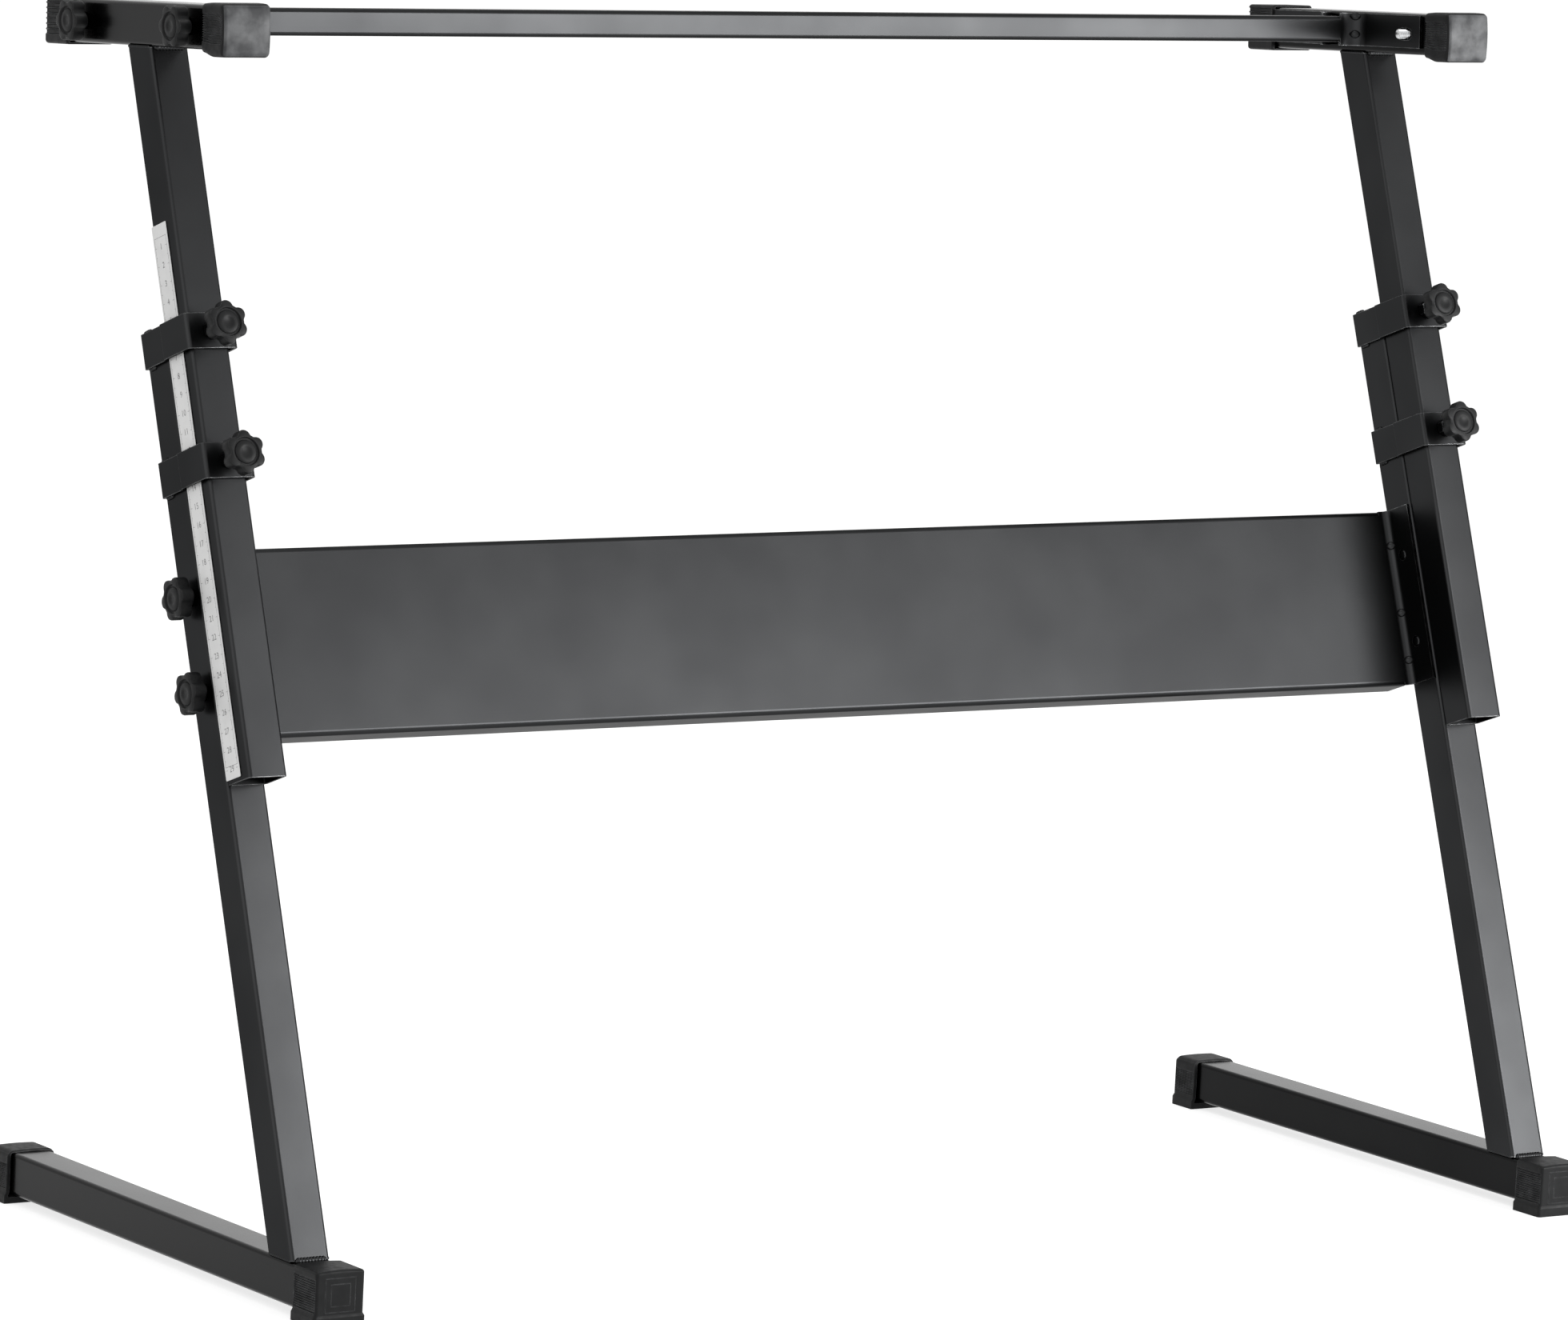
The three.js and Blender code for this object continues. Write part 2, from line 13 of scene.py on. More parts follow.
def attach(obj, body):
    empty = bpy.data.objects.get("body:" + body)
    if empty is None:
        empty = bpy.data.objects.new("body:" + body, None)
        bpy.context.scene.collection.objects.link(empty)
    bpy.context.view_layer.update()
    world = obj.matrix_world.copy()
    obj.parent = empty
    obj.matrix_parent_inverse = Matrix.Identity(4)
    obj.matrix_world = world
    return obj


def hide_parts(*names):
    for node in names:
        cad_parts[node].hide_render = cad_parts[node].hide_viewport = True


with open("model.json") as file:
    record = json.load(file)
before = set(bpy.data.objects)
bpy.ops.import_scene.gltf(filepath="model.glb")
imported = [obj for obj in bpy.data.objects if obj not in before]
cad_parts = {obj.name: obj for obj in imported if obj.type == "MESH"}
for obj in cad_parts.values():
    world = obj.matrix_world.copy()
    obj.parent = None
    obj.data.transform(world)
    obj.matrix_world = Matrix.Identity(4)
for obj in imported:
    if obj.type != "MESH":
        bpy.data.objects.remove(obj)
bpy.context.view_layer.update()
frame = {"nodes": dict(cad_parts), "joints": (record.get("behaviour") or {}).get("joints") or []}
print("frame loaded:", len(frame["nodes"]), "nodes")

mm = 0.001
hair = 1e-6  # places closer than this count as the same
sides = {"left": -1, "right": 1}

# Directions of the posts and arms, from the joints
joints = {joint["name"]: joint for joint in frame["joints"]}
across = Vector((1, 0, 0))
back = Vector((0, 1, 0))
up = Vector((0, 0, 1))


def knobPlace(name):
    return Vector(joints[name + "_turn"]["pos_m"])


postUp = Vector(joints["height_slide"]["axis"]).normalized()
postBack = postUp.cross(across)
armBack = (knobPlace("arm_rear_left") - knobPlace("arm_front_left")).normalized()
armUp = across.cross(armBack)


def reach(node, axis):
    # lowest and highest place of a node along a direction
    places = [vertex.co.dot(axis) for vertex in frame["nodes"][node].data.vertices]
    return min(places), max(places)


def middle(node, axis):
    low, high = reach(node, axis)
    return (low + high) / 2


def halfSpan(node, axis):
    low, high = reach(node, axis)
    return (high - low) / 2


def frameAt(origin, xAxis, yAxis, zAxis):
    turn = Matrix((xAxis, yAxis, zAxis)).transposed().to_4x4()
    return Matrix.Translation(origin) @ turn


def addObject(name, data):
    added = bpy.data.objects.new(name, data)
    bpy.context.scene.collection.objects.link(added)
    return added


# Materials. In a look, tones are mixed in clouds, cloud and patch give the (size, detail)
# of a noise and bumps its (size, detail, depth). cloudSpan is the stretch of the noise that
# the clouds use, and edgeSpan how far the rounded surface turns on a pale edge, as cosines.
# The pale edges are partly wear and partly a painted highlight.

noiseSpan = (0.3, 0.7)  # the noise rarely leaves this range
edgePatches = {"noise": (6 * mm, 4), "span": (0.35, 0.65), "least": 0.25, "samples": 4}


def addNode(tree, kind, **settings):
    node = tree.nodes.new(kind)
    for key, value in settings.items():
        if key in node.inputs:
            node.inputs[key].default_value = value
        else:
            setattr(node, key, value)
    return node


def grain(tree, size, detail):
    # noise whose features measure about size metres, fixed to the piece
    place = addNode(tree, "ShaderNodeTexCoord")
    noise = addNode(tree, "ShaderNodeTexNoise", Scale=1 / size, Detail=detail)
    tree.links.new(place.outputs["Object"], noise.inputs["Vector"])
    return noise.outputs["Fac"]


def spread(tree, value, low, high, span=noiseSpan):
    # a value that runs from low to high as the given one runs over its span
    ramp = addNode(tree, "ShaderNodeMapRange")
    for key, limit in zip(("From Min", "From Max", "To Min", "To Max"), (*span, low, high)):
        ramp.inputs[key].default_value = limit
    tree.links.new(value, ramp.inputs["Value"])
    return ramp.outputs["Result"]


def mixTones(tree, factor, first, second):
    mix = addNode(tree, "ShaderNodeMix", data_type="RGBA")
    colourIn = [socket for socket in mix.inputs if socket.type == "RGBA"]
    colourOut = [socket for socket in mix.outputs if socket.type == "RGBA"][0]
    tree.links.new(factor, mix.inputs[0])
    for socket, colour in zip(colourIn, (first, second)):
        if isinstance(colour, tuple):
            socket.default_value = (*colour, 1)
        else:
            tree.links.new(colour, socket)
    return colourOut


def wearAndHighlightEdges(tree, radius, span):
    # 0 on flats and up to 1 where the surface turns sharply within radius; it marks the pale
    # edges, which are partly wear and partly a painted highlight
    rounded = addNode(tree, "ShaderNodeBevel", samples=edgePatches["samples"], Radius=radius)
    surface = addNode(tree, "ShaderNodeNewGeometry")
    dot = addNode(tree, "ShaderNodeVectorMath", operation="DOT_PRODUCT")
    tree.links.new(rounded.outputs["Normal"], dot.inputs[0])
    tree.links.new(surface.outputs["Normal"], dot.inputs[1])
    edge = spread(tree, dot.outputs["Value"], 1, 0, span)
    patch = spread(tree, grain(tree, *edgePatches["noise"]), edgePatches["least"], 1, edgePatches["span"])
    both = addNode(tree, "ShaderNodeMath", operation="MULTIPLY")
    tree.links.new(edge, both.inputs[0])
    tree.links.new(patch, both.inputs[1])
    return both.outputs["Value"]


def addBump(tree, shader, height, depth, under):
    bump = addNode(tree, "ShaderNodeBump", Strength=1, Distance=depth)
    tree.links.new(height, bump.inputs["Height"])
    if under is not None:
        tree.links.new(under, bump.inputs["Normal"])
    tree.links.new(bump.outputs["Normal"], shader.inputs["Normal"])
    return bump.outputs["Normal"]


def startMaterial(name, look):
    # what is the same all over goes on the shader's own sockets
    sockets = {"roughness": "Roughness", "metallic": "Metallic", "specular": "Specular IOR Level",
               "grazing": "Specular Tint"}
    material = bpy.data.materials.new(name)
    material.use_nodes = True
    shader = material.node_tree.nodes["Principled BSDF"]
    shader.inputs["Base Color"].default_value = (*look.get("plain", look["tones"][0]), 1)
    for key, socket in sockets.items():
        if key in look:
            shader.inputs[socket].default_value = look[key]
    return material, material.node_tree, shader


def makeFinish(name, look):
    # two tones in clouds, paler edges that are partly wear and partly a painted highlight,
    # patchy roughness and a fine grain
    material, tree, shader = startMaterial(name, look)
    cloud = spread(tree, grain(tree, *look["cloud"]), 0, 1, look.get("cloudSpan", noiseSpan))
    base = mixTones(tree, cloud, *look["tones"])
    # the edges are paled, partly as wear and partly as a painted highlight
    if "wearAndHighlightTone" in look:
        wearAndHighlightMask = wearAndHighlightEdges(tree, look["edgeRadius"], look["edgeSpan"])
        base = mixTones(tree, wearAndHighlightMask, base, look["wearAndHighlightTone"])
    tree.links.new(base, shader.inputs["Base Color"])
    rough = spread(tree, grain(tree, *look["patch"]), *look["roughRange"])
    tree.links.new(rough, shader.inputs["Roughness"])
    normal = None
    for size, detail, depth in look["bumps"]:
        normal = addBump(tree, shader, grain(tree, size, detail), depth, normal)
    return material


# A dark, lightly metallic coat: deep from the front, paler at a flat angle
powderCoatLook = {
    "tones": ((0.0245, 0.0250, 0.0258), (0.0295, 0.0301, 0.0309)),
    "grazing": (0.5, 0.5, 0.5, 1),
    "cloud": (70 * mm, 2),
    "cloudSpan": (0.35, 0.65),
    # pale edges: partly wear, partly a painted highlight
    "wearAndHighlightTone": (0.36, 0.365, 0.37),
    "edgeRadius": 0.8 * mm,
    "edgeSpan": (0.80, 0.99),
    "metallic": 1,
    "roughness": 0.32,
    "roughRange": (0.30, 0.34),
    "patch": (45 * mm, 3),
    "bumps": ((6 * mm, 2, 0.012 * mm), (1.1 * mm, 2, 0.006 * mm)),
}

# The level tubes' tops shine at a flat angle. Their tones are a quarter of the powder coat's:
# a darker copy of the same coat, painted shade for their sides.
litAndShadedLevelCoatLook = {
    **powderCoatLook,
    "tones": ((0.006125, 0.00625, 0.00645), (0.007375, 0.007525, 0.007725)),
    "grazing": (1, 1, 1, 1),
    "roughness": 0.22,
    "roughRange": (0.20, 0.24),
}

mouldedLook = {
    "cloud": (9 * mm, 4),
    "edgeRadius": 0.6 * mm,
    "edgeSpan": (0.78, 0.99),
    "specular": 0.15,
    "patch": (4 * mm, 3),
    "bumps": ((0.7 * mm, 3, 0.015 * mm),),
}

knobPlasticLook = {
    **mouldedLook,
    "tones": ((0.0060, 0.0062, 0.0065), (0.0105, 0.0108, 0.0112)),
    # pale edges: partly wear, partly a painted highlight
    "wearAndHighlightTone": (0.075, 0.075, 0.077),
    "roughness": 0.48,
    "roughRange": (0.41, 0.55),
}

capPlasticLook = {
    **mouldedLook,
    "tones": ((0.0040, 0.0042, 0.0045), (0.0085, 0.0088, 0.0092)),
    # pale edges: partly wear, partly a painted highlight
    "wearAndHighlightTone": (0.130, 0.132, 0.136),
    "roughness": 0.50,
    "roughRange": (0.43, 0.57),
}

# The front arm caps' end faces, rubbed pale in cloudy patches, and paler than the caps' sides
# as painted light from the front lamp
scuffedAndLitFaceLook = {
    "tones": ((0.022, 0.023, 0.025), (0.095, 0.097, 0.100)),
    "cloud": (11 * mm, 4),
    "cloudSpan": (0.36, 0.64),
    # pale edges: partly wear, partly a painted highlight
    "wearAndHighlightTone": (0.17, 0.17, 0.175),
    "edgeRadius": 1.2 * mm,
    "edgeSpan": (0.80, 0.99),
    "specular": 0.3,
    "roughness": 0.5,
    "roughRange": (0.44, 0.60),
    "patch": (7 * mm, 4),
    "bumps": ((9 * mm, 3, 0.07 * mm),),
}

brightZincLook = {
    "plain": (0.60, 0.61, 0.62),
    "tones": ((0.64, 0.65, 0.66), (0.50, 0.495, 0.485)),
    "cloud": (3 * mm, 4),
    "cloudSpan": (0.45, 0.8),
    "metallic": 1,
    "roughness": 0.3,
    "roughRange": (0.25, 0.36),
    "patch": (1.5 * mm, 4),
    "bumps": ((0.5 * mm, 2, 0.01 * mm),),
}

stripWhiteLook = {
    "plain": (0.80, 0.80, 0.79),
    "tones": ((0.82, 0.82, 0.815), (0.74, 0.74, 0.735)),
    "cloud": (14 * mm, 4),
    "cloudSpan": (0.4, 0.75),
    "roughness": 0.42,
    "roughRange": (0.36, 0.5),
    "patch": (5 * mm, 3),
    "bumps": ((2 * mm, 2, 0.01 * mm),),
}

printInkLook = {
    "plain": (0.07, 0.07, 0.072),
    "tones": ((0.12, 0.12, 0.122), (0.36, 0.36, 0.36)),
    "cloud": (2.5 * mm, 4),
    "cloudSpan": (0.35, 0.65),
    "roughness": 0.6,
    "roughRange": (0.5, 0.7),
    "patch": (1 * mm, 2),
    "bumps": (),
}

powderCoat = makeFinish("powderCoat", powderCoatLook)
# a darker copy of the powder coat, painted shade
litAndShadedLevelCoat = makeFinish("litAndShadedLevelCoat", litAndShadedLevelCoatLook)
knobPlastic = makeFinish("knobPlastic", knobPlasticLook)
capPlastic = makeFinish("capPlastic", capPlasticLook)
# end faces paler than the sides: scuffs and painted light
scuffedAndLitFace = makeFinish("scuffedAndLitFace", scuffedAndLitFaceLook)
brightZinc = makeFinish("brightZinc", brightZincLook)
stripWhite = makeFinish("stripWhite", stripWhiteLook)
printInk = makeFinish("printInk", printInkLook)
print("materials made")


# Steel nodes that stay: edges softened, shading smoothed by angle

steelEdges = {
    "weld": 0.01 * mm,
    "flatAngle": math.radians(0.4),
    "softAngle": math.radians(40),
    "smoothAngle": math.radians(50),
    "segments": 2,
    "tube": 0.35 * mm,
    "sheet": 0.3 * mm,
}


def makeSmoothingGroup(limit):
    group = bpy.data.node_groups.new("smoothByAngle", "GeometryNodeTree")
    for way in ("INPUT", "OUTPUT"):
        group.interface.new_socket("Geometry", in_out=way, socket_type="NodeSocketGeometry")
    start = addNode(group, "NodeGroupInput")
    end = addNode(group, "NodeGroupOutput")
    angle = addNode(group, "GeometryNodeInputMeshEdgeAngle")
    isSharp = addNode(group, "FunctionNodeCompare", data_type="FLOAT", operation="GREATER_THAN")
    isSharp.inputs["B"].default_value = limit
    smoothFaces = addNode(group, "GeometryNodeSetShadeSmooth", domain="FACE")
    sharpEdges = addNode(group, "GeometryNodeSetShadeSmooth", domain="EDGE")
    sharpEdges.inputs["Shade Smooth"].default_value = False
    group.links.new(start.outputs["Geometry"], smoothFaces.inputs["Geometry"])
    group.links.new(smoothFaces.outputs["Geometry"], sharpEdges.inputs["Geometry"])
    group.links.new(angle.outputs["Unsigned Angle"], isSharp.inputs["A"])
    group.links.new(isSharp.outputs["Result"], sharpEdges.inputs["Selection"])
    group.links.new(sharpEdges.outputs["Geometry"], end.inputs["Geometry"])
    return group


smoothingGroup = makeSmoothingGroup(steelEdges["smoothAngle"])


def addModifier(piece, name, kind, **settings):
    modifier = piece.modifiers.new(name, kind)
    for key, value in settings.items():
        setattr(modifier, key, value)


def dressSteel(piece, softness, coat=powderCoat):
    edges = steelEdges
    addModifier(piece, "weld", "WELD", merge_threshold=edges["weld"])
    addModifier(piece, "flatten", "DECIMATE", decimate_type="DISSOLVE", angle_limit=edges["flatAngle"])
    addModifier(piece, "soften", "BEVEL", width=softness, segments=edges["segments"], limit_method="ANGLE",
                angle_limit=edges["softAngle"])
    addModifier(piece, "smooth", "NODES", node_group=smoothingGroup)
    addModifier(piece, "weighted", "WEIGHTED_NORMAL", keep_sharp=True)
    piece.data.materials.clear()
    piece.data.materials.append(coat)


for side in sides:
    for node in ("base_tube", "arm_tube"):
        # the base and arm tubes take the darker copy of the coat, painted shade on their sides
        dressSteel(frame["nodes"][f"{node}_{side}"], steelEdges["tube"], litAndShadedLevelCoat)
    for node in ("lower_post", "upper_post"):
        dressSteel(frame["nodes"][f"{node}_{side}"], steelEdges["tube"])
for node in ("crossbar", "lower_panel"):
    dressSteel(frame["nodes"][node], steelEdges["sheet"])
print("steel dressed")


# Clamp straps: the plain solid's step between the posts is pressed short and sharp

strapShape = {
    "lap": 24 * mm,  # from the plane between the posts to the strap's rear edge
    "plainStep": 5 * mm,
    "step": 1.4 * mm,
    "reachShare": 0.6,  # of the plain step, to either side of its middle
}


def addStrap(node, name, body):
    shape = strapShape
    mesh = frame["nodes"][node].data.copy()
    seam = reach(node, postBack)[1] - shape["lap"]
    for vertex in mesh.vertices:
        y = vertex.co.dot(postBack) - seam
        if abs(y) < shape["reachShare"] * shape["plainStep"]:
            vertex.co += postBack * (math.copysign(shape["step"] / 2, y) - y)
    strap = addObject(name, mesh)
    dressSteel(strap, steelEdges["sheet"])
    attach(strap, body)
    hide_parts(node)


for side in sides:
    for name in ("clamp_upper", "clamp_lower"):
        addStrap(f"{name}_bracket_{side}", f"{name}_strap_{side}", "base_frame")
print("clamp straps made")


# Mesh helpers. A shape is its points and its faces.

leastCut = 0.004 * mm  # grid lines closer than this become one
cutDigits = 8
identity = Matrix.Identity(4)


def addPiece(name, shape, place, body, materials, sharpAngle, faceMaterials=None):
    points, faces = shape
    mesh = bpy.data.meshes.new(name)
    mesh.from_pydata([tuple(point) for point in points], [], faces)
    mesh.transform(place)
    for material in materials:
        mesh.materials.append(material)
    if faceMaterials is not None:
        mesh.polygons.foreach_set("material_index", faceMaterials)
    mesh.shade_smooth()
    mesh.set_sharp_from_angle(angle=math.radians(sharpAngle))
    mesh.update()
    piece = addObject(name, mesh)
    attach(piece, body)
    return piece


def turnAngles(steps):
    return [2 * math.pi * i / steps for i in range(steps)]


def bandFaces(rings, pairs):
    # four-sided faces between pairs of rings of equal length
    count = len(rings[0])
    faces = []
    for i, n in pairs:
        for j in range(count):
            k = (j + 1) % count
            faces.append((i * count + j, i * count + k, n * count + k, n * count + j))
    return faces


def ringSurface(rings):
    # a closed surface through rings of equal length, capped by a fan at each end
    count = len(rings[0])
    points = [point for ring in rings for point in ring]
    faces = bandFaces(rings, [(i, i + 1) for i in range(len(rings) - 1)])
    for ring, start, order in ((rings[0], 0, -1), (rings[-1], (len(rings) - 1) * count, 1)):
        centre = len(points)
        points.append(tuple(np.mean(np.array(ring), axis=0)))
        for j in range(count):
            faces.append((centre, start + j, start + (j + 1) % count)[::order])
    return points, faces


def loopSurface(rings):
    # like ringSurface, but the last ring joins the first, as round a bore
    points = [point for ring in rings for point in ring]
    return points, bandFaces(rings, [(i, (i + 1) % len(rings)) for i in range(len(rings))])


def gridBox(xs, ys, zs):
    # the surface of a block cut along the given places; also says which faces lie at the far y end
    places = (xs, ys, zs)
    last = [len(values) - 1 for values in places]
    index, points, faces, atEnd = {}, [], [], []

    def corner(key):
        if key not in index:
            index[key] = len(points)
            points.append([places[axis][key[axis]] for axis in range(3)])
        return index[key]

    for axis, first, second, outward in ((0, 1, 2, True), (1, 0, 2, False), (2, 0, 1, True)):
        for end in (0, last[axis]):
            forwards = (end > 0) == outward
            for i in range(last[first]):
                for j in range(last[second]):
                    face = []
                    for a, b in ((i, j), (i + 1, j), (i + 1, j + 1), (i, j + 1)):
                        key = [0, 0, 0]
                        key[axis], key[first], key[second] = end, a, b
                        face.append(corner(tuple(key)))
                    faces.append(face if forwards else face[::-1])
                    atEnd.append(1 if axis == 1 and end > 0 else 0)
    return np.array(points), faces, atEnd


def cuts(*runs):
    # sorted places from runs of (start, stop, count), each with both its ends
    places = sorted({round(float(value), cutDigits) for run in runs for value in np.linspace(*run)})
    kept = [places[0]]
    for value in places[1:]:
        if value - kept[-1] > leastCut:
            kept.append(value)
    return kept


def bothWays(*runs):
    return list(runs) + [(-start, -stop, count) for start, stop, count in runs]


def ease(value, low, high):
    t = np.clip((value - low) / (high - low), 0, 1)
    return t * t * (3 - 2 * t)


def gather(parts):
    points, faces = [], []
    for morePoints, moreFaces in parts:
        start = len(points)
        points += list(morePoints)
        faces += [tuple(start + index for index in face) for face in moreFaces]
    return points, faces


# Knobs and their threaded studs

knobShape = {
    "lobes": 6,
    "lobeRadius": 4 * mm,
    "lobeMiddle": 8.5 * mm,
    "coreRadius": 10.2 * mm,
    "filletRadius": 0.7 * mm,
    "hubRadius": 5 * mm,
    "hubHeight": 3.5 * mm,
    "face": 11.5 * mm,
    "round": 1.2 * mm,
    "roundShare": 0.3,  # where the round's middle ring lies
    "socketRadius": 3.3 * mm,
    "socketDepth": 8.5 * mm,
    "dish": (8.2 * mm, 7.7 * mm, 6.9 * mm, 4.3 * mm),  # its edge, its floor's two edges and the boss
    "dishDepth": 1.3 * mm,
    "bossDrop": 0.15 * mm,
    "bossShares": (0.2, 0.4, 0.6, 0.8, 1),
    "dimple": (3.0 * mm, 2.5 * mm),
    "dimpleDepth": 0.35 * mm,
    "soft": 0.15 * mm,
    "steps": 96,
    "sharpAngle": 38,
}

studShape = {
    "radius": 3 * mm,
    "threadDepth": 0.5 * mm,
    "pitch": 1 * mm,
    "chamfer": 0.7 * mm,
    "ringsPerTurn": 6,
    "steps": 24,
    "sharpAngle": 50,
}


def lobedRadius(angle):
    # the lobes are round and run into the round core with a soft fillet
    shape = knobShape
    step = 2 * math.pi / shape["lobes"]
    off = (angle + step / 2) % step - step / 2
    aside = shape["lobeMiddle"] * math.sin(off)
    inside = max(shape["lobeRadius"] ** 2 - aside ** 2, 0)
    lobe = shape["lobeMiddle"] * math.cos(off) + math.sqrt(inside)
    core, soft = shape["coreRadius"], shape["filletRadius"]
    share = max(soft - abs(lobe - core), 0) / soft
    return max(lobe, core) + share * share * soft / 4


def knobRings():
    # from the stud's socket over the hub and the lobes to the dimple; ("in", d) is d inside the lobes
    shape = knobShape
    soft, hub, face, edge = shape["soft"], shape["hubRadius"], shape["face"], shape["round"]
    outerDish, outerFloor, innerFloor, boss = shape["dish"]
    floor, bossTop = face - shape["dishDepth"], face - shape["bossDrop"]
    height, socket = shape["hubHeight"], shape["socketRadius"]
    near = shape["roundShare"] * edge
    dimpleTop, dimpleFloor = shape["dimple"]
    quarter = [math.pi / 2 * share for share in shape["bossShares"]]
    crown = [(boss + (innerFloor - boss) * math.cos(turn), floor + (bossTop - floor) * math.sin(turn))
             for turn in quarter]  # the boss rises roundly out of the groove
    profile = [
        (socket, shape["socketDepth"]), (socket, 2 * soft), (socket + 2 * soft, 0),
        (hub - 2 * soft, 0), (hub, 2 * soft), (hub, height - 2 * soft), (hub + 2 * soft, height),
        (("in", edge), height), (("in", near), height + near), (("in", 0), height + edge),
        (("in", 0), face - edge), (("in", near), face - near), (("in", edge), face),
        (outerDish + soft, face), (outerDish, face - soft), (outerFloor, floor), (innerFloor, floor),
        *crown, (dimpleTop, bossTop), (dimpleFloor, bossTop - shape["dimpleDepth"]),
    ]
    rings = []
    for radius, z in profile:
        ring = []
        for angle in turnAngles(shape["steps"]):
            r = lobedRadius(angle) - radius[1] if isinstance(radius, tuple) else radius
            ring.append((-r * math.sin(angle), r * math.cos(angle), z))
        rings.append(ring)
    return rings


def studRings(low, high):
    # a thread of straight flanks, chamfered at both ends
    shape = studShape
    step = shape["pitch"] / shape["ringsPerTurn"]
    count = max(int(round((high - low) / step)), 2)
    rings = []
    for z in np.linspace(low, high, count + 1):
        nearEnd = min(z - low, high - z)
        limit = shape["radius"] - max(shape["chamfer"] - nearEnd, 0)
        ring = []
        for angle in turnAngles(shape["steps"]):
            turn = (z / shape["pitch"] - angle / (2 * math.pi)) % 1
            r = min(shape["radius"] - shape["threadDepth"] * (1 - abs(2 * turn - 1)), limit)
            ring.append((-r * math.sin(angle), r * math.cos(angle), z))
        rings.append(ring)
    return rings


def addKnobScrew(name, lobeAxis, finish):
    place = knobPlace(name)
    outward = Vector(joints[name + "_turn"]["axis"]).normalized()
    lobe = (lobeAxis - outward * lobeAxis.dot(outward)).normalized()
    local = frameAt(place, lobe.cross(outward), lobe, outward)
    knob = addPiece(f"{name}_grip", ringSurface(knobRings()), local, f"{name}_knob",
                    [knobPlastic], knobShape["sharpAngle"])
    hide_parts(f"{name}_knob")
    low, high = [end - place.dot(outward) for end in reach(f"{name}_stud", outward)]
    stud = addPiece(f"{name}_thread", ringSurface(studRings(low, high)), local, f"{name}_stud",
                    [finish], studShape["sharpAngle"])
    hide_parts(f"{name}_stud")


for side in sides:
    for name in ("clamp_upper", "clamp_lower"):
        addKnobScrew(f"{name}_{side}", postUp, brightZinc)
    for name in ("panel_upper", "panel_lower"):
        addKnobScrew(f"{name}_{side}", postBack, powderCoat)
    for name in ("arm_front", "arm_rear"):
        addKnobScrew(f"{name}_{side}", armBack, brightZinc)
print("knobs and studs made")


# Chamfered hexagon nuts, tacked to the clamp brackets

nutShape = {
    "acrossFlats": 10 * mm,
    "bore": 3.3 * mm,
    "boreChamfer": 0.4 * mm,
    "faceRound": 4.75 * mm,
    "slope": math.radians(30),
    "topShares": (0.25, 0.5, 0.75, 1),
    "underShares": (1, 0.5),
    "steps": 72,
    "sharpAngle": 28,
}


def nutRings(low, high):
    # the corners are cut back by a cone at both ends
    shape = nutShape
    flat, face, slope = shape["acrossFlats"] / 2, shape["faceRound"], math.tan(shape["slope"])
    bore, chamfer = shape["bore"], shape["boreChamfer"]
    sector = math.pi / 3
    drop = (flat / math.cos(sector / 2) - face) * slope
    profile = [(bore, high - chamfer), (bore + chamfer, high), (face, high)]
    profile += [(None, high - drop * share) for share in shape["topShares"]]
    profile += [(None, low + drop * share) for share in shape["underShares"]]
    profile += [(face, low), (bore + chamfer, low), (bore, low + chamfer)]
    rings = []
    for radius, z in profile:
        cone = face + min(z - low, high - z) / slope
        ring = []
        for angle in turnAngles(shape["steps"]):
            hexagon = flat / math.cos((angle + sector / 2) % sector - sector / 2)
            r = radius if radius is not None else min(hexagon, cone)
            ring.append((r * math.cos(angle), r * math.sin(angle), z))
        rings.append(ring[::-1])
    return rings


def addNut(name, side):
    node = f"{name}_nut_{side}"
    outward = -postBack
    place = knobPlace(f"{name}_{side}")
    low, high = [end - place.dot(outward) for end in reach(node, outward)]
    local = frameAt(place, postUp.cross(outward), postUp, outward)
    nut = addPiece(f"{name}_hex_{side}", loopSurface(nutRings(low, high)), local, "base_frame",
                   [powderCoat], nutShape["sharpAngle"])
    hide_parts(node)


for side in sides:
    for name in ("clamp_upper", "clamp_lower"):
        addNut(name, side)
print("nuts made")


# Plastic caps. Each is drawn with x across, y from its open end to its outer end and z up,
# as a finely cut block whose points are then moved to the moulded form.

capShape = {
    "pocket": 12.65 * mm,  # half the width of the hole for the tube
    "endWall": 3 * mm,
    "pocketEdge": 0.01 * mm,
    "stepRun": 0.25 * mm,
    "lineRun": 0.3 * mm,
    "ribRun": 0.35 * mm,
    "ribSlack": 0.05 * mm,
    "crestPower": 1.5,
    "domeDepth": 3 * mm,
    "edgeCuts": 6,
    "openCuts": 3,
    "lengthCuts": 16,
    "cutsPerRib": 8,
    "sharpAngle": 35,
}

frontFoot = {
    "round": 1.7 * mm, "openRound": 0.5 * mm, "crown": 0.7 * mm, "faceCuts": 10,
    "pocketBottom": 4.85 * mm, "mouth": 0.45 * mm, "mouthDepth": 1.4 * mm,
    "sole": 1 * mm, "lip": 5 * mm, "shoulder": 1.6 * mm, "toe": 0.5 * mm,
    "ribs": {"low": 8 * mm, "high": 26.6 * mm, "count": 14, "depth": 0.75 * mm, "recess": 0.1 * mm,
             "margins": (0.3 * mm, 1.2 * mm)},
    "steps": (9.7 * mm, 6.3 * mm), "stepHeight": 0.35 * mm, "stepMiddle": 17.6 * mm,
}

